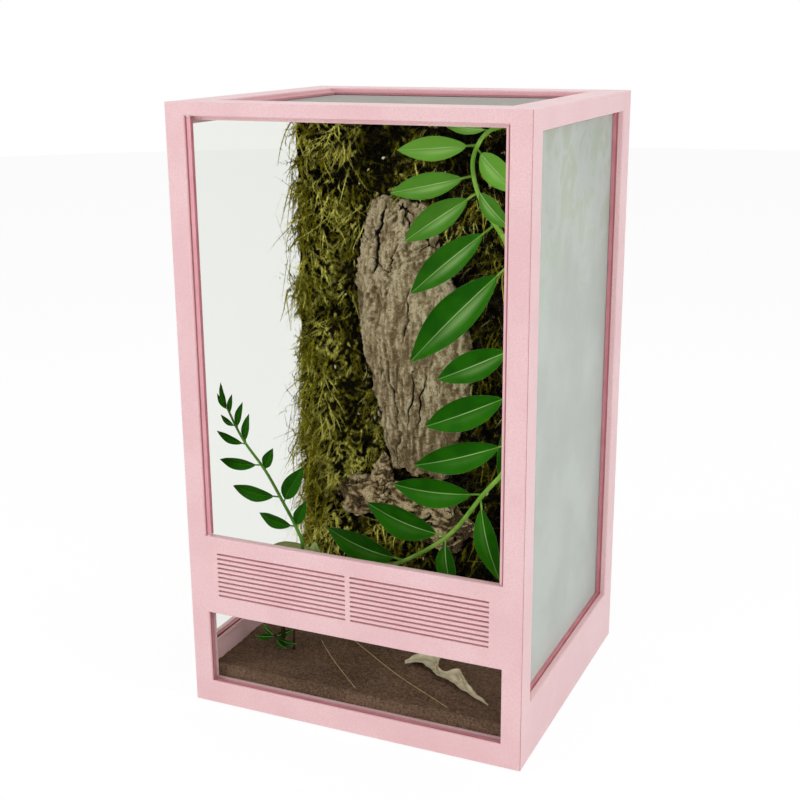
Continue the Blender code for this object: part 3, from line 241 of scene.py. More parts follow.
def make_hazy_glass():
    """A blurred view under a pale grey-green haze, greener at the top."""
    tree = start_material("hazy_glass")
    clouds = spread(tree, mottle(tree, 90, 4.0))
    plain = blend(tree, clouds, (226, 232, 226), (232, 238, 233))
    place = add(tree, "SeparateXYZ", {"Vector": object_place(tree)})
    high_up = spread(tree, place.outputs["Z"], 340 * MM, 560 * MM)
    shapes = spread(tree, mottle(tree, 34, 5.0, distortion=1.0), 0.42, 0.62)
    green = times(tree, times(tree, high_up, shapes), 0.55)
    veil = add(tree, "BsdfDiffuse", {"Color": blend(tree, green, plain, (206, 218, 190))})
    rough = spread(tree, mottle(tree, 12, 3.0), 0.3, 0.7, 0.16, 0.24)
    blurred = {"Color": (0.97, 0.98, 0.97, 1.0), "Roughness": rough, "IOR": 1.25}
    view = add(tree, "BsdfRefraction", blurred)
    body = mix_shaders(tree, spread(tree, clouds, 0.0, 1.0, 0.4, 0.43), view, veil)
    through = add(tree, "BsdfTransparent", {"Color": (0.82, 0.84, 0.82, 1.0)})
    shadow = add(tree, "LightPath").outputs["Is Shadow Ray"]
    set_surface(tree, mix_shaders(tree, shadow, add_gloss(tree, body, 0.25), through))


def make_moss_strands():
    """Near black at the root and yellow-green or straw-coloured at the tip."""
    tree = start_material("moss")
    tint = attribute(tree, "tint")
    shaded = layer(tree, tint, 0.0, 0.45, (30, 26, 9), (150, 144, 24))
    olive = layer(tree, tint, 0.45, 0.88, shaded, (255, 250, 130))
    straw = layer(tree, tint, 0.9, 0.95, olive, (206, 194, 130))
    # Near black at the root: partly the strand's own dark base, partly painted shade deep in the moss
    grown = layer(tree, attribute(tree, "tip"), 0.05, 0.5, (18, 15, 5), straw)
    dress(tree, grown, 0.7, [(mottle(tree, 0.8), 0.1)], specular=0.15)


def make_moss_floor():
    """The dark mat between the strands."""
    tree = start_material("moss_floor")
    patches = mottle(tree, 10, 5.0)
    # Its near-black colour is partly painted shade deep between the strands
    colour = layer(tree, patches, 0.45, 0.75, (14, 11, 5), (48, 41, 18))
    bumps = [(mottle(tree, 6, 4.0), 4), (cells(tree, 1.6), 0.8)]
    dress(tree, colour, spread(tree, patches, 0.3, 0.7, 0.85, 1.0), bumps, specular=0.05)


def make_wood(name, light, middle, dark, crack):
    """Weathered bark or wood. Each point carries its height and the depth of its crack, from 0 to 1."""
    tree = start_material(name)
    height = attribute(tree, "height")
    streaks = mottle(tree, 2.4, 5.0, stretch=(1, 1, 0.16))
    flecks = mottle(tree, 1.5, 5.0)
    # Painted shade and light: the height follows the carved relief, so hollows are painted darker and raised
    # parts lighter, partly as wear
    painted_shade_low = layer(tree, height, 0.1, 0.5, dark, middle)
    worn_and_painted_light = layer(tree, height, 0.5, 0.85, painted_shade_low, light)
    lined = layer(tree, streaks, 0.5, 0.68, worn_and_painted_light, dark, 0.5)
    pale = layer(tree, flecks, 0.52, 0.66, lined, light, 0.4)
    # Partly painted shade: the pits of the bump are darker
    pitted = layer(tree, flecks, 0.47, 0.36, pale, dark, 0.7)
    # Painted shade: cracks and pits are painted near black
    deep = layer(tree, attribute(tree, "depth"), 0.25, 0.75, pitted, crack)
    rough = spread(tree, streaks, 0.3, 0.7, 0.78, 0.95)
    dress(tree, deep, rough, [(streaks, 1.0), (flecks, 1.6)], specular=0.15)


def make_leaf(name, dark, light, fresh, rib, roughness):
    """A leaf. Its points carry distances in millimetres, their share of its length, their youth and painted
    light.
    """
    tree = start_material(name)
    names = ("off_rib", "off_edge", "along", "share", "young", "painted_sheen", "lit_half")
    off_rib, off_edge, along, share, young, painted_sheen, lit_half = [attribute(tree, key) for key in names]
    patches = spread(tree, mottle(tree, 22), 0.3, 0.7, 0.0, 0.5)
    # Painted light and shade: the lower half is painted lighter and the upper half darker, over random
    # patches
    halves = calculate(tree, "ADD", times(tree, lit_half, 0.5), patches)
    aged = blend(tree, young, blend(tree, halves, dark, light), fresh)
    # Painted highlight: a pale patch painted over the leaf's colour
    with_painted_sheen = blend(tree, painted_sheen, aged, (190, 224, 150))
    slant = calculate(tree, "SUBTRACT", along, times(tree, off_rib, VEIN_SLANT))
    wave = calculate(tree, "SINE", times(tree, slant, VEINS_PER_MM))
    veined = layer(tree, wave, 0.6, 1.0, with_painted_sheen, rib, 0.03)
    rib_strength = spread(tree, share, 0.25, 1.0, 0.95, 0.35)
    near_rib = times(tree, spread(tree, off_rib, 0.2, 0.6, 1.0, 0.0), rib_strength)
    ribbed = blend(tree, near_rib, veined, rib)
    # Painted highlight: a pale line along the edge, as a rim of light
    painted_edge_highlight = blend(tree, spread(tree, off_edge, 0.05, 0.3, 0.35, 0.0), ribbed, rib)
    folds = (spread(tree, off_rib, 0.1, 1.4), 0.5)
    bumps = [folds, (spread(tree, wave, -1.0, 1.0), 0.015), (mottle(tree, 1.0), 0.03)]
    rough = spread(tree, mottle(tree, 6, 3.0), 0.3, 0.7, *roughness)
    dress(tree, painted_edge_highlight, rough, bumps, specular=0.03)


def make_stem(name, dark, light):
    """Green with fine ridges along it, brown near the soil."""
    tree = start_material(name)
    ridge = calculate(tree, "SINE", times(tree, attribute(tree, "around"), STEM_RIDGES * tau))
    patches = mottle(tree, 20, 3.0)
    green = layer(tree, patches, 0.35, 0.65, dark, light)
    lined = layer(tree, ridge, 0.2, 1.0, green, (168, 200, 116), 0.3)
    woody = layer(tree, attribute(tree, "height"), 90, 170, (66, 52, 34), lined)
    bumps = [(spread(tree, ridge, -1.0, 1.0), 0.2)]
    dress(tree, woody, spread(tree, patches, 0.3, 0.7, 0.4, 0.55), bumps, specular=0.1)


def make_soil():
    """Coir and loam: dark crumbs under a felt of fine tan fibres."""
    tree = start_material("soil_loam")
    crumbs = mottle(tree, 3, 5.0)
    fibres = mottle(tree, 0.9, 4.0, stretch=(1, 0.16, 1), distortion=1.2)
    crossing = mottle(tree, 0.9, 4.0, stretch=(0.16, 1, 1), distortion=1.2)
    base = layer(tree, mottle(tree, 80), 0.35, 0.65, (98, 76, 60), (120, 94, 76))
    crumbed = blend(tree, spread(tree, crumbs, 0.35, 0.6, 0.6, 0.0), base, (58, 42, 32))
    woven = layer(tree, fibres, 0.52, 0.72, crumbed, (176, 146, 120), 0.5)
    strewn = layer(tree, crossing, 0.52, 0.72, woven, (168, 138, 112), 0.45)
    bumps = [(crumbs, 1.2), (fibres, 0.4), (crossing, 0.4)]
    dress(tree, strewn, spread(tree, crumbs, 0.3, 0.7, 0.85, 1.0), bumps, specular=0.1)


def make_metal(name, screen_colour, roughness, stretch):
    """Bare metal with faint lines along the axis where the stretch is under 1."""
    tree = start_material(name)
    lines = mottle(tree, 1.5, 3.0, stretch=stretch)
    colour = srgb(*screen_colour)
    shade = blend(tree, lines, colour, [channel * 0.8 for channel in colour[:3]] + [1.0])
    dress(tree, shade, spread(tree, lines, 0.3, 0.7, *roughness), [(lines, 0.03)], metal=1.0)


for name, look in MOTTLED.items():
    make_mottled(name, *look)
make_plastic("pink_plastic", (243, 208, 210), (228, 182, 186))
# A darker rose copy of the pink plastic, for the lid frame: painted shade of the recess it sits in
make_plastic("rose_plastic_painted_shade", (214, 150, 158), (190, 124, 134))
make_clear_glass("clear_glass", (0.985, 0.99, 0.985, 1.0))
make_clear_glass("tinted_glass", (0.945, 0.948, 0.93, 1.0))
make_hazy_glass()
make_metal("steel", (190, 190, 192), (0.25, 0.4), (1, 1, 0.2))
make_metal("wire", (176, 172, 166), (0.4, 0.55), EVEN)
make_moss_strands()
make_moss_floor()
make_wood("bark", (206, 192, 158), (164, 147, 112), (118, 100, 70), (24, 17, 10))
make_wood("root", (214, 194, 152), (154, 132, 92), (78, 62, 38), (16, 11, 6))
make_leaf("leaf", (18, 80, 0), (38, 108, 2), (128, 190, 70), (168, 206, 130), (0.3, 0.4))
make_leaf("small_leaf", (20, 66, 2), (30, 84, 4), (90, 130, 50), (46, 100, 14), (0.4, 0.5))
make_leaf("pale_leaf", (168, 200, 116), (196, 218, 146), (170, 190, 130), (176, 196, 136), (0.45, 0.6))
make_stem("stem", (108, 166, 44), (150, 202, 80))
make_stem("dark_stem", (54, 112, 20), (84, 144, 38))
make_soil()

# How the names of CAD nodes with a finish end. The first finish that fits counts.
NODE_FINISHES = {
    "rose_plastic_painted_shade": "lid_frame",
    "pink_plastic": ("_frame", "_rim", "_retainer", "_bead"),
    "gasket": "_gasket",
    "pink_metal": "_strip",
    "rose_metal": "_stile",
    "tinted_glass": "left_pane",
    "hazy_glass": "right_pane",
    "clear_glass": ("_pane", "door_glass"),
    "screen": "_screen",
    "nylon": "_bush",
    "magnet": "_magnet",
    "rubber": ("_foot", "_spline"),
    "board": "_board",
    "moss_floor": "moss_panel",
    "steel": ("_screw", "_pin"),
}
for name, node in nodes.items():
    fitting = [finish for finish, endings in NODE_FINISHES.items() if name.endswith(endings)]
    if fitting:
        node.data.materials.clear()
        node.data.materials.append(finishes[fitting[0]])


# Helpers for pieces

def link(name, data):
    """Adds an object to the scene."""
    made = bpy.data.objects.new(name, data)
    scene.collection.objects.link(made)
    return made


def show(piece, body, slot, *replaced):
    """Gives a piece its body and hides the CAD nodes that it stands for. The slot is not used."""
    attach(piece, body)
    if replaced:
        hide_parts(*replaced)


def complete(mesh, finish, values):
    """Gives a mesh its finish and the numbers that its points carry for the shaders."""
    for key, numbers in values.items():
        numbers = np.asarray(numbers, np.float32)
        mesh.attributes.new(key, "FLOAT", "POINT").data.foreach_set("value", numbers)
    mesh.materials.clear()
    mesh.materials.append(finishes[finish])
    mesh.shade_smooth()


def make_piece(name, points, faces, finish, values):
    mesh = bpy.data.meshes.new(name)
    mesh.from_pydata(points, [], faces)
    complete(mesh, finish, values)
    return link(name, mesh)


def sheet_faces(rows):
    """Faces between the points of a sheet, which come in rows."""
    return [
        (near[k], near[k + 1], far[k + 1], far[k])
        for near, far in zip(rows, rows[1:])
        for k in range(len(near) - 1)
    ]


def rim(rows):
    """The points round the edge of a sheet."""
    return rows[0][:-1] + [row[-1] for row in rows[:-1]] + rows[-1][:0:-1] + [row[0] for row in rows[:0:-1]]


def shell_faces(upper, lower):
    """Faces of two sheets, back to back and joined round their edges."""
    above, below = rim(upper), rim(lower)
    joins = [(above[k - 1], above[k], below[k], below[k - 1]) for k in range(len(above))]
    return sheet_faces(upper) + [face[::-1] for face in sheet_faces(lower)] + joins


def tube_faces(rings):
    """A skin over rings of points, closed at both ends."""
    sides = len(rings[0])
    skin = [
        (first[k], first[(k + 1) % sides], second[(k + 1) % sides], second[k])
        for first, second in zip(rings, rings[1:])
        for k in range(sides)
    ]
    return skin + [rings[0][::-1], rings[-1]]


class Growth:
    """Collects the points, faces and point values of one piece."""

    def __init__(self):
        self.points = []
        self.faces = []
        self.values = {}

    def add_point(self, place, **values):
        self.points.append(tuple(place))
        for key, value in values.items():
            self.values.setdefault(key, []).append(value)
        return len(self.points) - 1

    def make(self, name, finish):
        return make_piece(name, self.points, self.faces, finish, self.values)


def unit(vectors):
    return vectors / np.maximum(np.linalg.norm(vectors, axis=-1, keepdims=True), 1e-12)


def surface_of(node):
    """A CAD node's mesh, ready to be asked what a line hits."""
    mesh = nodes[node].data
    return BVHTree.FromPolygons([v.co for v in mesh.vertices], [p.vertices for p in mesh.polygons])


def clamp(value):
    return min(1.0, max(0.0, value))


# Wire mesh of the lid: woven wires in two directions

WIRE_PITCH = 1.8 * MM
WIRE_RADIUS = 0.19 * MM
WIRE_SIDES = 4


def make_wires(name, along_axis, low, high):
    """One direction of the weave. Each wire rises and dips at every crossing."""
    axes = (along_axis, 1 - along_axis)
    counts = [int((high[k] - low[k] - 2 * WIRE_RADIUS) / WIRE_PITCH) for k in axes]
    margins = [(high[k] - low[k] - n * WIRE_PITCH) / 2 for k, n in zip(axes, counts)]
    steps, wires = [np.arange(n + 1) for n in counts]
    wave = (1 - 2 * along_axis) * WIRE_RADIUS * (1 - 2 * ((steps[None, :] + wires[:, None]) % 2))
    turn = np.arange(WIRE_SIDES) * tau / WIRE_SIDES
    points = np.zeros((len(wires), len(steps), WIRE_SIDES, 3))
    points[..., axes[0]] = (low[axes[0]] + margins[0] + steps * WIRE_PITCH)[None, :, None]
    middles = low[axes[1]] + margins[1] + wires * WIRE_PITCH
    points[..., axes[1]] = middles[:, None, None] + WIRE_RADIUS * np.cos(turn)
    points[..., 2] = (low[2] + high[2]) / 2 + wave[..., None] + WIRE_RADIUS * np.sin(turn)
    index = np.arange(points[..., 0].size).reshape(points.shape[:3])
    after = np.roll(index, -1, axis=2)
    quads = np.stack([index[:, :-1], after[:, :-1], after[:, 1:], index[:, 1:]], axis=-1)
    return make_piece(name, points.reshape(-1, 3).tolist(), quads.reshape(-1, 4).tolist(), "wire", {})


for name, axis in (("lid_wires_long", 0), ("lid_wires_cross", 1)):
    show(make_wires(name, axis, *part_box("lid_mesh")), "screen_lid", "mesh", "lid_mesh")


# Moss strands on the CAD moss panel

MOSS_SEED = 11
STRAND_STEPS = 11
STRAND_HALF_WIDTH = 1.05 * MM
STRAND_SWAY = 0.17
STRAND_CURL = 0.5
STRAND_COUNT = 9400
NEEDLE_TURN = 1.2
CLUMP_COUNT = 240
CLUMP_SIZE = 17 * MM
FRINGE_COUNT = 900
FRINGE_TUFTS = 34
FRINGE_HALF_WIDTH = 1.4 * MM
CHIP_COUNT = 60
MOSS_HALF_WIDTH = INNER_HALF_WIDTH - 0.6 * MM
MOSS_LOWEST = 45 * MM
MOSS_HIGHEST = 582 * MM
# Where each piece of moss starts and ends across the back
MOSS_PIECES = {
    "moss_left": (-INNER_HALF_WIDTH, -65 * MM),
    "moss_middle": (-65 * MM, 45 * MM),
    "moss_right": (45 * MM, INNER_HALF_WIDTH),
}


def moss_roots(draws, count):
    """Places and outward directions spread evenly over the moss panel's front, sides and top."""
    mesh = nodes["moss_panel"].data
    mesh.calc_loop_triangles()
    corners = np.array([[mesh.vertices[i].co for i in face.vertices] for face in mesh.loop_triangles])
    across = np.cross(corners[:, 1] - corners[:, 0], corners[:, 2] - corners[:, 0])
    normals = unit(across)
    seen = np.linalg.norm(across, axis=1) * (normals[:, 1] < -0.15)
    chosen = draws.choice(len(seen), count, p=seen / seen.sum())
    first, second = draws.random((2, count, 1))
    over = first + second > 1
    first, second = np.where(over, 1 - first, first), np.where(over, 1 - second, second)
    a, b, c = corners[chosen].transpose(1, 0, 2)
    return a + (b - a) * first + (c - a) * second, normals[chosen]


def feather(draws, roots, lean, length, droop, reach, half_width):
    """Bent, drooping stems from the roots: thin ribbons with needles on both sides of each step."""
    shares = np.linspace(0, 1, STRAND_STEPS + 1)
    sway, curl = [unit(draws.normal(0, 1, roots.shape)) * length[:, None] for _ in range(2)]
    stems = (
        roots[:, None]
        - lean[:, None] * 1.5 * MM
        + lean[:, None] * (length[:, None] * shares)[..., None]
        + sway[:, None] * STRAND_SWAY * np.sin(shares * 4.0)[None, :, None]
        + curl[:, None] * STRAND_CURL * (shares**3)[None, :, None]
    )
    stems[..., 2] -= (droop * length)[:, None] * shares**2
    tangents = unit(stems[:, 1:] - stems[:, :-1])
    tangents = np.concatenate([tangents, tangents[:, -1:]], axis=1)
    upright = np.where(np.abs(tangents[..., 2:3]) < 0.9, [[[0.0, 0.0, 1.0]]], [[[1.0, 0.0, 0.0]]])
    side = unit(np.cross(tangents, upright))
    other = np.cross(side, tangents)
    turn = draws.uniform(0, tau, len(roots))[:, None] + np.arange(STRAND_STEPS + 1) * NEEDLE_TURN
    spoke = side * np.cos(turn)[..., None] + other * np.sin(turn)[..., None]
    reached = reach[:, None] * (np.sin(pi * (0.16 + 0.72 * shares)) ** 0.8)[None, :]
    forward = tangents * (reached * 0.9)[..., None]
    width = half_width * (1.15 - shares)[None, :, None]
    edges = [stems + side * way * width for way in (1, -1)]
    needles = [stems + forward + spoke * (way * reached)[..., None] for way in (1, -1)]
    return np.concatenate(edges + needles, axis=1)


def clear_of_wood(points):
    """True for the strands that don't cross the front of the bark or the driftwood."""
    woods = [surface_of(name) for name in ("cork_bark", "driftwood")]
    ahead = Vector((0, 1, 0))
    clear = []
    for strand in points:
        starts = [Vector((x, -0.2, z)) for x, _, z in strand[3 : STRAND_STEPS + 1 : 3]]
        clear.append(not any(wood.ray_cast(start, ahead)[0] for start in starts for wood in woods))
    return clear


def grow_cover(draws):
    """Strands all over the panel that lean out of their clump. Clumps differ in size and tone."""
    roots, normals = moss_roots(draws, STRAND_COUNT)
    clumps, _ = moss_roots(draws, CLUMP_COUNT)
    nearest = np.linalg.norm(roots[:, None] - clumps[None], axis=2).argmin(1)
    clump_size = draws.uniform(0.5, 1.45, CLUMP_COUNT)[nearest]
    clump_tone = draws.normal(0, 0.2, CLUMP_COUNT)[nearest]
    clump_lean = draws.normal(0, 0.35, (CLUMP_COUNT, 3))[nearest]
    out_of_clump = (roots - clumps[nearest]) / CLUMP_SIZE
    lean = normals * 0.9 + out_of_clump * 0.9 + clump_lean + draws.normal(0, 0.26, roots.shape)
    lean[:, 2] -= 0.1
    edge = np.clip(1.1 - np.linalg.norm(out_of_clump, axis=1) * 0.6, 0.25, 1)
    length = draws.uniform(15, 30, len(roots)) * MM * clump_size * edge
    reach = draws.uniform(2.2, 3.6, len(roots)) * MM
    droop = draws.uniform(-0.2, 0.5, len(roots))
    points = feather(draws, roots, unit(lean), length, droop, reach, STRAND_HALF_WIDTH)
    # Painted shade: strands are darkened from about the bark's left edge rightwards, and more past the
    # middle, where shadow falls
    shade = np.clip((roots[:, 0] + 128 * MM) / (34 * MM), 0, 1) * 0.52
    shade += np.clip((roots[:, 0] + 30 * MM) / (40 * MM), 0, 1) * 0.28
    tint = 0.9 + 1.4 * clump_tone + draws.normal(0, 0.22, len(roots)) - 1.15 * shade
    # Painted shade: strands at clump edges and in small clumps, short and low in the moss, are darker
    tint += (edge * clump_size - 0.7) * 0.3
    flecked = draws.random(len(roots)) < 0.03 * shade
    return points, np.where(flecked, 0.93, np.clip(tint, 0, 0.88))


def grow_fringe(draws):
    """Long strands that hang forward in tufts from the panel's left edge."""
    low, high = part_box("moss_panel")
    count = FRINGE_COUNT
    tuft_heights = draws.uniform(low.z + 20 * MM, high.z, FRINGE_TUFTS)
    tuft = draws.integers(0, FRINGE_TUFTS, count)
    places = [
        -INNER_HALF_WIDTH + draws.exponential(8 * MM, count).clip(1 * MM, 30 * MM),
        low.y + 10 * MM + draws.uniform(-5, 12, count) * MM,
        tuft_heights[tuft] + draws.normal(0, 5 * MM, count),
    ]
    roots = np.stack(places, axis=1)
    tuft_rise = draws.normal(-0.05, 0.3, FRINGE_TUFTS)[tuft]
    lean = np.array([0.0, -1.0, 0.0]) + draws.normal(0, [0.2, 0.15, 0.3], roots.shape)
    lean[:, 2] += tuft_rise
    tuft_length = draws.uniform(0.55, 1.3, FRINGE_TUFTS)[tuft]
    length = draws.uniform(22, 56, count) * MM * tuft_length
    reach = draws.uniform(2.6, 4.2, count) * MM
    droop = draws.uniform(-0.1, 0.6, count)
    points = feather(draws, roots, unit(lean), length, droop, reach, FRINGE_HALF_WIDTH)
    return points, (0.46 + draws.normal(0, 0.14, count)).clip(0.15, 0.8)


def make_moss():
    """All the strands, kept inside the case and off the wood."""
    draws = np.random.default_rng(MOSS_SEED)
    cover, cover_tint = grow_cover(draws)
    fringe, fringe_tint = grow_fringe(draws)
    points = np.concatenate([cover, fringe])
    points[..., 0] = np.clip(points[..., 0], -MOSS_HALF_WIDTH, MOSS_HALF_WIDTH)
    points[..., 2] = np.clip(points[..., 2], MOSS_LOWEST, MOSS_HIGHEST)
    kept = clear_of_wood(points)
    points = points[kept]
    tint = np.concatenate([cover_tint, fringe_tint])[kept]
    row = STRAND_STEPS + 1
    steps = np.arange(row)
    before = steps[:-1]
    corners = [(before, before + 1, before + 1 + row), (before, before + 1 + row, before + row)]
    corners += [(steps, steps + row, steps + 2 * row), (steps + row, steps, steps + 3 * row)]
    pattern = np.concatenate([np.stack(three, axis=1) for three in corners])
    tips = np.tile(np.linspace(0, 1, row), 4)
    for name, (low, high) in MOSS_PIECES.items():
        chosen = (points[:, 0, 0] >= low) & (points[:, 0, 0] < high)
        part = points[chosen]
        faces = pattern[None] + (np.arange(len(part)) * len(tips))[:, None, None]
        values = {"tint": np.repeat(tint[chosen], len(tips)), "tip": np.tile(tips, len(part))}
        piece = make_piece(name, part.reshape(-1, 3).tolist(), faces.reshape(-1, 3).tolist(), "moss", values)
        show(piece, "case", "moss")


def make_chips():
    """Pale flakes of bark and root caught in the moss, each a small bent wedge."""
    draws = np.random.default_rng(MOSS_SEED + 1)
    places, normals = moss_roots(draws, CHIP_COUNT)
    growth = Growth()
    for place, normal in zip(places, normals):
        out = Vector(normal)
        turned = Vector(draws.normal(0, 1, 3)).normalized()
        first = out.cross(turned).normalized() * draws.uniform(1.0, 3.0) * MM
        second = out.cross(first).normalized() * draws.uniform(0.6, 1.6) * MM
        middle = Vector(place) + out * draws.uniform(4, 12) * MM
        corners = [middle + first, middle + second, middle - first * 0.8, middle - second * 1.2]
        thick = out * 0.4 * MM
        upper = [growth.add_point(corner + thick) for corner in corners]
        lower = [growth.add_point(corner - thick) for corner in corners]
        growth.faces += tube_faces([lower, upper])
    return growth.make("moss_chips", "chip")


make_moss()
show(make_chips(), "case", "dry_leaf")


# Bark and driftwood, carved from the CAD solids

CARVING_VOXEL = 1.0 * MM
CARVING_SMOOTHING = 12
BARK_LOW, BARK_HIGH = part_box("cork_bark")
# The main cracks, in millimetres: top point across and up, length down, lean, half width and phase
BARK_CRACKS = [
    (-56, 488, 74, -0.16, 3.4, 0.4), (-70, 432, 22, 1.1, 1.9, 2.0), (-40, 446, 34, -0.35, 1.5, 1.1),
    (-24, 404, 62, -0.12, 1.7, 3.0), (-14, 372, 48, 0.22, 1.4, 0.2), (-62, 330, 46, 0.1, 1.5, 5.2),
    (-52, 322, 86, 0.16, 1.8, 2.6), (-18, 318, 72, -0.14, 1.8, 4.0), (-6, 312, 66, -0.2, 1.5, 0.9),
    (-78, 304, 64, 0.24, 2.6, 1.7), (-72, 262, 44, 0.3, 1.6, 3.7), (-36, 246, 40, -0.3, 1.5, 5.9),
    (-58, 232, 34, 0.5, 1.4, 2.2), (-84, 470, 26, 0.2, 1.6, 0.6), (-92, 398, 30, 0.4, 1.2, 4.4),
    (-76, 372, 24, -0.5, 1.2, 1.3), (-30, 480, 30, 0.1, 1.7, 3.3), (-66, 208, 36, 0.1, 1.4, 0.8),
]


def crack_depths(places, cracks):
    """How deep each place lies in a winding crack, from 0 to 1."""
    depths = np.zeros(len(places))
    for top_x, top_z, length, lean, half_width, phase in cracks:
        steps = np.linspace(0, 1, 2 + length)
        wander = np.sin(steps * 9 + phase) * 1.6 + np.sin(steps * 23 + phase * 2) * 0.8
        x = top_x * MM + (lean * steps * length + wander) * MM
        z = (top_z - steps * length) * MM
        away = np.hypot(places[:, 0, None] - x[None], places[:, 2, None] - z[None])
        taper = np.sin(pi * (0.06 + 0.88 * steps[away.argmin(1)])) ** 0.5
        share = np.clip(1 - away.min(1) / (half_width * MM * taper), 0, 1)
        depths = np.maximum(depths, share * share * (3 - 2 * share))
    return depths


def carve(name, node, finish, relief, cracks=()):
    """Makes a fine, smooth mesh of a CAD solid and carves relief and cracks into it."""
    piece = link(name, nodes[node].data.copy())
    fine = piece.modifiers.new("fine", "REMESH")
    fine.mode = "VOXEL"
    fine.voxel_size = CARVING_VOXEL
    piece.modifiers.new("soft", "SMOOTH").iterations = CARVING_SMOOTHING
    mesh = bpy.data.meshes.new_from_object(piece.evaluated_get(bpy.context.evaluated_depsgraph_get()))
    piece.modifiers.clear()
    piece.data = mesh
    mesh.name = name
    cracked = crack_depths(np.array([vertex.co for vertex in mesh.vertices]), cracks)
    normals = [vertex.normal.copy() for vertex in mesh.vertices]
    values = []
    for vertex, normal, crack in zip(mesh.vertices, normals, cracked):
        lift, *numbers = relief(vertex.co, crack)
        vertex.co += normal * lift
        values.append(numbers)
    complete(mesh, finish, dict(zip(("height", "depth"), zip(*values))))
    return piece


def groove(value, width):
    """1 in the middle of a groove, where the value is 0, and 0 beyond its width."""
    share = max(0.0, 1 - abs(value) / width)
    return share * share * (3 - 2 * share)


def scaled(place, x, y, z):
    """The place to look up for noise with features about x, y and z millimetres across."""
    return Vector((place.x / (x * MM), place.y / (y * MM), place.z / (z * MM)))


def bark_relief(place, crack):
    """Weathered cork: broad lumps, long ridges and a sandy skin, flaked near the top."""
    spot = place + noise.noise_vector(place / (32 * MM)) * 6 * MM
    lump = noise.noise(spot / (34 * MM))
    ridge = noise.noise(scaled(spot, 9, 14, 44))
    thin_ridge = noise.noise(scaled(spot, 3.4, 5, 13))
    level = (place.z - BARK_LOW.z) / (BARK_HIGH.z - BARK_LOW.z)
    broken = clamp(level * 3.2 - 1.7)
    slant = (spot.z - spot.x * 0.6) / (3.2 * MM)
    wrinkle = noise.noise(Vector((spot.x / (9 * MM), spot.y / (9 * MM), slant)))
    wrinkled = clamp((noise.noise(place / (24 * MM)) - 0.02) * 4) * (0.25 + 0.75 * broken)
    flake = noise.voronoi(scaled(spot, 13, 30, 18))[0]
    flake_here = broken * clamp((noise.noise(place / (19 * MM)) - 0.05) * 5)
    rough = noise.fractal(place / (4 * MM), 0.8, 2.0, 4)
    pit = clamp((noise.noise(place / (2.6 * MM)) - 0.36) * 6)
    deep = max(crack, 0.8 * (groove(flake[1] - flake[0], 0.12) * flake_here))
    lift = (3.0 * lump + 2.8 * ridge + 2.0 * thin_ridge + 3.2 * wrinkle * wrinkled) * MM
    lift += ((1.5 + 1.0 * broken) * rough - 5.5 * deep - 0.9 * pit) * MM
    # The colour height follows the relief: painted shade low in it, lighter on the raised parts; it is also
    # darker towards the bottom
    height = 0.28 + 0.38 * clamp(level) + 0.25 * lump + 0.5 * ridge + 0.7 * thin_ridge
    height += 0.9 * wrinkle * wrinkled + 0.4 * rough
    # The depth is painted as shade in the finish: cracks, flake edges and pits
    return lift, clamp(height), clamp(deep * 1.1 + 0.3 * pit)


def root_relief(place, crack):
    """Knotty wood with winding grain, hollows between its knuckles and flaking skin."""
    spot = place + noise.noise_vector(place / (15 * MM)) * 6 * MM
    lump = noise.noise(spot / (15 * MM))
    grain = noise.noise(scaled(spot, 10, 7, 4))
    flake = noise.voronoi(scaled(spot, 9, 12, 6))[0]
    flake_crack = groove(flake[1] - flake[0], 0.13) * clamp(0.55 + noise.noise(place / (14 * MM)) * 3)
    hollow = clamp(-noise.noise(place / (20 * MM) + Vector((5, 0, 0))) * 2.2 - 0.5)
    rough = noise.fractal(place / (3.4 * MM), 0.9, 2.0, 4)
    lift = (3.4 * lump + 2.2 * grain + 1.3 * rough - 2.4 * flake_crack - 3.4 * hollow - 2.0 * crack) * MM
    # Painted shade: hollows lower the colour height, and they and flake cracks are painted dark through the
    # depth
    height = clamp(0.46 + 1.1 * lump + 1.4 * grain + 0.5 * rough - 0.7 * hollow)
    return lift, height, clamp(0.95 * flake_crack + 0.4 * hollow)


show(carve("cork_bark_slab", "cork_bark", "bark", bark_relief, BARK_CRACKS), "case", "bark", "cork_bark")
show(carve("driftwood_root", "driftwood", "root", root_relief), "case", "bark", "driftwood")


# Plants. The lists are nearly the same as in the part's source, in millimetres.
# A stem's points are distances from a side of the door opening and behind the planting line, and heights.
# A leaf is its place along the stem, its angle, its length and width, and its lean. Angles are in degrees.

CLIMBER_STEM = [
    (29, 89, 30), (22, 82, 90), (21, 77, 180), (25, 75, 270), (23, 77, 350), (22, 77, 420),
    (34, 77, 472), (58, 77, 508), (68, 77, 544), (58, 79, 570), (39, 81, 579),
]
CLIMBER_LEAVES = [
    (0.93, 175, 44, 12, 2), (0.86, 185, 78, 25, 2), (0.77, 193, 84, 26, 1), (0.73, 214, 86, 29, 2),
    (0.65, 220, 108, 31, 1), (0.57, 226, 141, 40, 3), (0.44, 206, 88, 32, 2), (0.38, 205, 100, 35, 1),
    (0.32, 199, 105, 33, 2), (0.85, -41, 58, 28, 4), (0.74, -44, 50, 20, 6), (0.38, -97, 130, 20, -14),
]
BRANCH_STEM = [(24, 76, 285), (33, 75, 258), (53, 73, 232), (87, 71, 186), (133, 71, 152), (157, 73, 142)]
BRANCH_LEAVES = [
    (0.40, 181, 94, 34, 1), (0.61, 164, 88, 37, 2), (0.81, 165, 88, 35, 1), (0.42, -74, 84, 27, 3),
    (0.62, -80, 52, 24, 4),
]
SPRIG_STEM = [
    (43, 53, 30), (49, 47, 76), (73, 29, 126), (95, 7, 176), (89, 7, 196),
    (76, 7, 219), (57, 7, 250), (37, 7, 274), (26, 7, 291), (17, 7, 309),
]
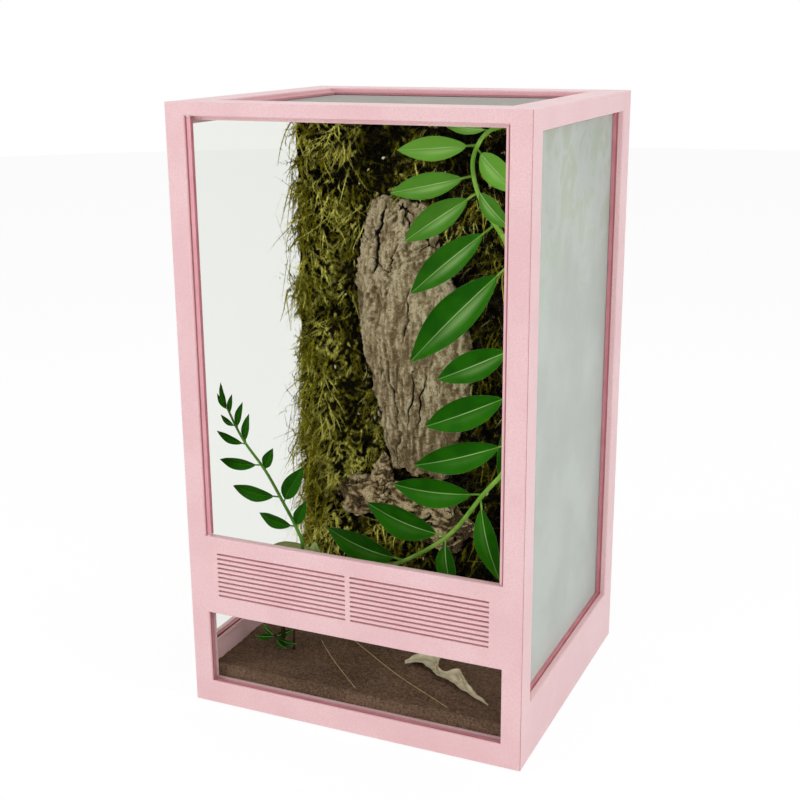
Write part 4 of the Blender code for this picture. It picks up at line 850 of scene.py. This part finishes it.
SPRIG_LEAVES = [
    (0.45, 169, 42, 16, -2), (0.58, 176, 54, 18, -2), (0.69, 181, 48, 14, -2), (0.78, 164, 35, 10, -2),
    (0.89, 149, 20, 7, -2), (0.98, 128, 20, 6, -2), (0.45, 67, 30, 13, -2), (0.56, 60, 45, 19, -2),
    (0.67, 69, 25, 12, -2), (0.79, 81, 30, 9, -2), (0.88, 76, 28, 8, -2), (0.96, 82, 20, 6, -2),
    (0.99, 106, 27, 7, -2),
]
PALE_STEM = [(57, 51, 30), (60, 50, 70), (77, 43, 122), (101, 36, 163)]
PALE_LEAVES = [(0.97, 178, 52, 24, 6), (0.88, 100, 18, 14, -10)]
GROUND_STEM = [(31, 59, 30), (31, 59, 36), (31, 59, 42), (31, 59, 47)]
GROUND_LEAVES = [
    (0.9, 168, 22, 9, 50), (0.9, 8, 38, 9, 28), (0.9, 30, 30, 8, 10), (0.9, 150, 20, 7, -10),
    (0.9, 2, 34, 8, 62),
]
STEM_RADIUS = 2.2 * MM
THIN_RADIUS = 1.2 * MM
STEM_SIDES = 16
STEM_FLUTE = 0.05
LEAF_THICKNESS = 0.6 * MM
LEAF_ARCH = 0.1
LEAF_FOLD = 0.34
LEAF_FULLNESS = 0.86
# The blades are narrower than in the solids
LEAF_NARROWING = 0.9
LEAF_STEPS = 28
LEAF_COLUMNS = 12
STALK = 0.12
STALK_STEPS = 18
THIN_SIDES = 8


def curve_at(values, share):
    """The value at a share from 0 to 1 of a list of equally spaced values, smoothly joined."""
    place = clamp(share) * (len(values) - 1)
    i = min(int(place), len(values) - 2)
    t = place - i
    before = values[max(i - 1, 0)]
    after = values[min(i + 2, len(values) - 1)]
    start, end = values[i], values[i + 1]
    return 0.5 * (
        2 * start
        + (end - before) * t
        + (2 * before - 5 * start + 4 * end - after) * t * t
        + (3 * start - before - 3 * end + after) * t * t * t
    )


def point_at(points, share):
    return Vector([curve_at(numbers, share) for numbers in zip(*points)])


def inside(side, across, behind, height=0):
    """A place from its distances to a side of the door opening, -1 or 1, and to the planting line."""
    return Vector((side * (DOOR_HALF_WIDTH - across * MM), PLANTING_LINE + behind * MM, height * MM))


def add_tube(growth, route, radius_at, sides, flute=0.0):
    """A round tube along a route, closed at both ends. The flute presses shallow grooves along it."""
    rings = []
    count = len(route)
    for i, place in enumerate(route):
        way = (route[min(i + 1, count - 1)] - route[max(i - 1, 0)]).normalized()
        across = way.cross(Vector((0, 1, 0))).normalized()
        up = across.cross(way)
        radius = radius_at(i / (count - 1))
        rings.append([])
        for k in range(sides):
            turn = tau * k / sides
            size = radius * (1 + flute * cos(turn * 2))
            spot = place + across * size * cos(turn) + up * size * sin(turn)
            rings[-1].append(growth.add_point(spot, around=abs(2 * k / sides - 1), height=spot.z / MM))
    growth.faces += tube_faces(rings)


def leaf_frame(angle, lean):
    """The directions of the leaf's length and width, and the way that its face looks."""
    turn = radians(angle)
    way = Vector((cos(turn), -sin(radians(lean)), sin(turn))).normalized()
    across = way.cross(Vector((0, -1, 0))).normalized()
    face = across.cross(way).normalized()
    return way, across, -face if face.y > 0 else face


def leaf_middle(base, way, face, length, share):
    return base + way * length * share + face * LEAF_ARCH * length * sin(pi * share)


def add_leaf(growth, base, angle, length, width, lean, seed, young, painted_sheen):
    """A blade with two rising halves and a faintly waved edge, as a thin closed shell."""
    half_width = LEAF_NARROWING * width * MM / 2
    way, across, face = leaf_frame(angle, lean)
    wave_phase = seed * 2.4
    lower = -1 if across.z > 0 else 1
    sheets = ([], [])
    for i in range(LEAF_STEPS + 1):
        blade = i / LEAF_STEPS
        share = STALK + (1 - STALK) * blade
        half = max(0.25 * MM, half_width * sin(pi * blade**0.84) ** LEAF_FULLNESS)
        middle = leaf_middle(base, way, face, length, share)
        for rows in sheets:
            rows.append([])
        for j in range(LEAF_COLUMNS + 1):
            u = 2 * j / LEAF_COLUMNS - 1
            down = lower * u
            rise = half * LEAF_FOLD * abs(u) ** 1.4 * (1.0 if down < 0 else 0.55)
            wave = sin(share * 13 + wave_phase + (1.3 if u > 0 else 0.0)) * u * u * half * 0.05
            place = middle + across * half * u + face * (rise + wave)
            thin = LEAF_THICKNESS * (0.5 - 0.35 * abs(u))
            values = {
                "off_rib": abs(u) * half / MM,
                "off_edge": (1 - abs(u)) * half / MM,
                "along": share * length / MM,
                "share": share,
                "young": young,
                # Painted highlight: a pale patch on the lower half, near the stalk
                "painted_sheen": painted_sheen * exp(-(((blade - 0.36) / 0.3) ** 2) - ((down - 0.3) / 0.2) ** 2),
                # Painted light: 1 on the lower half, which is painted lighter, 0 on the upper half
                "lit_half": clamp(0.5 + 4 * lower * u),
            }
            for rows, lift in zip(sheets, (thin, -thin)):
                rows[-1].append(growth.add_point(place + face * lift, **values))
    growth.faces += shell_faces(*sheets)


def add_stalk(growth, base, angle, length, lean):
    """The leaf's stalk runs on under the blade as its rib."""
    way, _, face = leaf_frame(angle, lean)
    shares = [i / STALK_STEPS * 0.9 for i in range(STALK_STEPS + 1)]
    route = [leaf_middle(base, way, face, length, share) - face * 0.45 * MM for share in shares]
    thick = min(1.1 * MM, length * 0.012 + 0.25 * MM)
    add_tube(growth, route, lambda share: thick * (1 - 0.8 * share), THIN_SIDES)


def grow_plant(name, side, radius, taper, finish, stems, change=0):
    """The stems and stalks are one piece and the blades another, each with its finish.

    With a change of 1, the leaves grow younger and lighter upwards, and get a painted highlight near the
    stalk.
    """
    stalks = Growth()
    blades = Growth()
    for number, (points, leaves) in enumerate(stems):
        route = [inside(side, *point) for point in points]
        steps = 8 * (len(route) - 1)
        line = [point_at(route, i / steps) for i in range(steps + 1)]
        add_tube(stalks, line, lambda share: radius * (1 - taper * share), STEM_SIDES, STEM_FLUTE)
        for i, (share, angle, length, width, lean) in enumerate(leaves):
            base = point_at(route, share)
            add_stalk(stalks, base, angle, length * MM, lean)
            young = change * 0.75 * clamp((base.z - 480 * MM) / (90 * MM)) ** 1.5
            # The painted highlight is stronger on the leaves higher up
            painted_sheen = change * (0.05 + 0.32 * clamp((base.z - 350 * MM) / (60 * MM)))
            add_leaf(blades, base, angle, length * MM, width, lean, i + 10 * number, young, painted_sheen)
    slot = "pale_leaf" if finish[1] == "pale_leaf" else "leaf"
    show(stalks.make(name + "_stems", finish[0]), "case", slot, name)
    show(blades.make(name + "_blades", finish[1]), "case", slot, name)


climber = [(CLIMBER_STEM, CLIMBER_LEAVES), (BRANCH_STEM, BRANCH_LEAVES)]
grow_plant("climber", 1, STEM_RADIUS, 0.15, ("stem", "leaf"), climber, change=1)
grow_plant("door_sprig", -1, STEM_RADIUS, 0.55, ("dark_stem", "small_leaf"), [(SPRIG_STEM, SPRIG_LEAVES)])
grow_plant("pale_sprig", -1, THIN_RADIUS, 0.45, ("dark_stem", "pale_leaf"), [(PALE_STEM, PALE_LEAVES)])
grow_plant("ground_plant", -1, THIN_RADIUS, 0.45, ("dark_stem", "leaf"), [(GROUND_STEM, GROUND_LEAVES)])


# Soil, with fibres and straws lying on it

SOIL_LOW, SOIL_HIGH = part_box("soil")
SOIL_COLUMNS = 260
SOIL_ROWS = 210
SOIL_EDGE = 0.4 * MM
SOIL_SEED = 5
FIBRE_COUNT = 2600
FIBRE_STEPS = 4
# The ends of the straws, measured from the left as the plants are
STRAWS = {"left": [(77, 76), (154, -2)], "right": [(109, 90), (251, -2)]}
STRAW_STEPS = 24
soil_surface = surface_of("soil")


def soil_level(x, y):
    """The CAD soil's height at a place, kept just inside its edges."""
    in_x = min(max(x, SOIL_LOW.x + SOIL_EDGE), SOIL_HIGH.x - SOIL_EDGE)
    in_y = min(max(y, SOIL_LOW.y + SOIL_EDGE), SOIL_HIGH.y - SOIL_EDGE)
    hit = soil_surface.ray_cast(Vector((in_x, in_y, 0.2)), Vector((0, 0, -1)))[0]
    return hit.z if hit and hit.z > SOIL_HIGH.z - 8 * MM else SOIL_HIGH.z - 3 * MM


def make_soil_bed():
    """The CAD soil's surface, made crumbly, with the same sides and underside."""
    growth = Growth()
    upper = []
    for j in range(SOIL_ROWS + 1):
        y = SOIL_LOW.y + (SOIL_HIGH.y - SOIL_LOW.y) * j / SOIL_ROWS
        upper.append([])
        for i in range(SOIL_COLUMNS + 1):
            x = SOIL_LOW.x + (SOIL_HIGH.x - SOIL_LOW.x) * i / SOIL_COLUMNS
            spot = Vector((x, y, 0))
            crumb = noise.fractal(spot / (9 * MM), 0.9, 2.1, 5) * 1.1 * MM
            clod = noise.voronoi(spot / (5 * MM))[0][0] * 0.9 * MM
            upper[-1].append(growth.add_point((x, y, soil_level(x, y) + crumb - clod)))
    edge = rim(upper)
    foot = [growth.add_point((*growth.points[k][:2], SOIL_LOW.z)) for k in edge]
    sides = [(edge[k], edge[k - 1], foot[k - 1], foot[k]) for k in range(len(edge))]
    growth.faces = sheet_faces(upper) + sides + [foot[::-1]]
    return growth.make("soil_bed", "soil_loam")


def make_fibres():
    """Short fibres strewn on the soil, each a thin bent triangular thread."""
    draws = random.Random(SOIL_SEED)
    growth = Growth()
    margin = 7 * MM
    for _ in range(FIBRE_COUNT):
        x = draws.uniform(SOIL_LOW.x + margin, SOIL_HIGH.x - margin)
        y = draws.uniform(SOIL_LOW.y + margin, SOIL_HIGH.y - 60 * MM)
        length = draws.uniform(2.5, 7.0) * MM
        turn = draws.uniform(0, tau)
        bend = draws.uniform(-1.2, 1.2)
        thick = draws.uniform(0.05, 0.12) * MM
        up = Vector((0, 0, thick * 1.6))
        rings = []
        for i in range(FIBRE_STEPS + 1):
            share = i / FIBRE_STEPS - 0.5
            heading = turn + bend * share
            spot_x = x + length * share * cos(heading)
            spot_y = y + length * share * sin(heading)
            middle = Vector((spot_x, spot_y, soil_level(spot_x, spot_y) + (0.7 - 1.6 * share * share) * MM))
            side = Vector((-sin(heading), cos(heading), 0)) * thick
            rings.append([growth.add_point(p) for p in (middle - side, middle + side, middle + up)])
        growth.faces += tube_faces(rings)
    return growth.make("soil_fibres", "fibre")


def make_straw(name, ends):
    """A thin dry straw that lies on the soil in a slight bow."""
    start, end = [inside(-1, *point) for point in ends]
    bow = (end - start).cross(Vector((0, 0, 1))) * 0.02
    route = []
    for i in range(STRAW_STEPS + 1):
        share = i / STRAW_STEPS
        place = start.lerp(end, share) + bow * sin(pi * share)
        place.z = soil_level(place.x, place.y)
        route.append(place)
    levels = [place.z for place in route]
    for i, place in enumerate(route):
        nearby = levels[max(0, i - 2) : i + 3]
        place.z = sum(nearby) / len(nearby) + 1.2 * MM
    growth = Growth()
    add_tube(growth, route, lambda share: (0.5 - 0.15 * share) * MM, THIN_SIDES)
    return growth.make(name, "straw")


show(make_soil_bed(), "case", "soil", "soil")
show(make_fibres(), "case", "soil")
for side, ends in STRAWS.items():
    show(make_straw("thin_straw_" + side, ends), "case", "dry_leaf", "dry_straw_" + side)


# The dry leaf on the soil. The points of its two edges are measured from the right as the plants are.

DEAD_UPPER_EDGE = [
    (132, 64), (131, 76), (122, 92), (108, 97), (100, 82), (97, 66), (86, 57), (76, 70), (67, 60), (54, 45),
    (40, 31), (26, 20),
]
DEAD_LOWER_EDGE = [
    (131, 62), (125, 63), (117, 68), (108, 62), (99, 54), (90, 46), (80, 44), (70, 40), (60, 34), (49, 30),
    (37, 24), (25, 18),
]
DEAD_STEPS = 66
DEAD_COLUMNS = 14
DEAD_THICKNESS = 0.5 * MM


def make_dead_leaf():
    """A torn dry sheet between two ragged edges, folded, curled up and crumpled."""
    growth = Growth()
    edges = [[inside(1, *point) for point in edge] for edge in (DEAD_UPPER_EDGE, DEAD_LOWER_EDGE)]
    sheets = ([], [])
    for i in range(DEAD_STEPS + 1):
        share = i / DEAD_STEPS
        start, end = [point_at(edge, share) for edge in edges]
        for rows in sheets:
            rows.append([])
        for j in range(DEAD_COLUMNS + 1):
            u = j / DEAD_COLUMNS
            place = start.lerp(end, u)
            place.x += noise.noise(Vector((share * 26, u * 3, 0))) * 1.4 * MM
            crumple = abs(noise.noise(Vector((share * 9, u * 2.4, 2)))) * 3.2
            fold = abs(sin(u * 5.2 + share * 4)) * 2.0
            curl = 5.0 * (2 * u - 1) ** 2 * sin(pi * min(1, share * 1.15)) ** 2
            rise = (1.0 + crumple + fold * (1 - share) + curl * (1 - 0.6 * share)) * MM
            place.z = soil_level(place.x, place.y) + rise
            for rows, lift in zip(sheets, (DEAD_THICKNESS, 0.0)):
                rows[-1].append(growth.add_point(place + Vector((0, 0, lift))))
    # Its rows run the other way than a blade's, so each face is turned over
    growth.faces = [(a, d, c, b) for a, b, c, d in shell_faces(*sheets)]
    return growth.make("dead_leaf_curled", "dry")


show(make_dead_leaf(), "case", "dry_leaf", "dead_leaf")


# Camera, light and floor

CAMERA_PLACE = (0.5101, -1.1707, 0.669)
# Yaw, pitch and roll in degrees
CAMERA_TURN = (-24.075, 16.2, -0.431)
CAMERA_LENS = 58.83
WORLD_LEVEL = 0.42
FLOOR_RADIUS = 6.0
FLOOR_LOOKS = {"Base Color": (0.93, 0.93, 0.93, 1.0), "Roughness": 0.9, "Specular IOR Level": 0.0}
FLOOR_GLOW = 1.027
FLOOR_GLOW_SHARE = 0.9
# Place, target, size and power of each lamp
LAMPS = {
    "key_light": ((-2.2, -1.8, 1.0), (0, 0, 0.3), 0.8, 27),
    "low_fill": ((0.3, -2.0, 0.15), (0, 0, 0.1), 0.8, 6),
    "side_light": ((2.1, -0.7, 0.9), (0, 0, 0.3), 1.0, 16),
    "top_light": ((0.2, 0.1, 2.6), (0, 0, 0.3), 1.6, 18),
}


def make_camera():
    yaw, pitch, roll = [radians(angle) for angle in CAMERA_TURN]
    camera = link("camera", bpy.data.cameras.new("camera"))
    camera.data.lens = CAMERA_LENS
    turned = Matrix.Rotation(-yaw, 4, "Z") @ Matrix.Rotation(pi / 2 - pitch, 4, "X")
    camera.matrix_world = Matrix.Translation(CAMERA_PLACE) @ turned @ Matrix.Rotation(roll, 4, "Z")
    scene.camera = camera


def background_share(tree):
    """1 for the rays that show the background: to the camera, in reflections and through glass."""
    rays = add(tree, "LightPath").outputs
    seen = calculate(tree, "MAXIMUM", rays["Is Camera Ray"], rays["Is Glossy Ray"])
    return calculate(tree, "MAXIMUM", seen, rays["Is Transmission Ray"])


def make_world():
    """Plain light on the object, behind which the background shows white."""
    world = bpy.data.worlds.new("studio")
    scene.world = world
    world.use_nodes = True
    tree = world.node_tree
    levels = {"Value": background_share(tree), "To Min": WORLD_LEVEL, "To Max": 1.0}
    strength = add(tree, "MapRange", levels).outputs["Result"]
    set_inputs(tree, tree.nodes["Background"], {"Color": WHITE, "Strength": strength})


def make_floor():
    """A round pale floor. It shows white to the camera and keeps a faint shadow."""
    tree = start_material("floor")
    shader = tree.nodes["Principled BSDF"]
    set_inputs(tree, shader, FLOOR_LOOKS)
    glow = add(tree, "Emission", {"Color": WHITE, "Strength": FLOOR_GLOW})
    set_surface(tree, mix_shaders(tree, times(tree, background_share(tree), FLOOR_GLOW_SHARE), shader, glow))
    mesh = bpy.data.meshes.new("floor")
    bm = bmesh.new()
    bmesh.ops.create_circle(bm, cap_ends=True, segments=64, radius=FLOOR_RADIUS)
    bm.to_mesh(mesh)
    bm.free()
    mesh.materials.append(finishes["floor"])
    link("floor", mesh)


make_camera()
make_world()
make_floor()
for name, (place, target, size, power) in LAMPS.items():
    lamp = link(name, bpy.data.lights.new(name, "AREA"))
    lamp.data.size = size
    lamp.data.energy = power
    lamp.location = place
    lamp.rotation_euler = (Vector(target) - Vector(place)).to_track_quat("-Z", "Y").to_euler()
scene.view_settings.view_transform = "Standard"
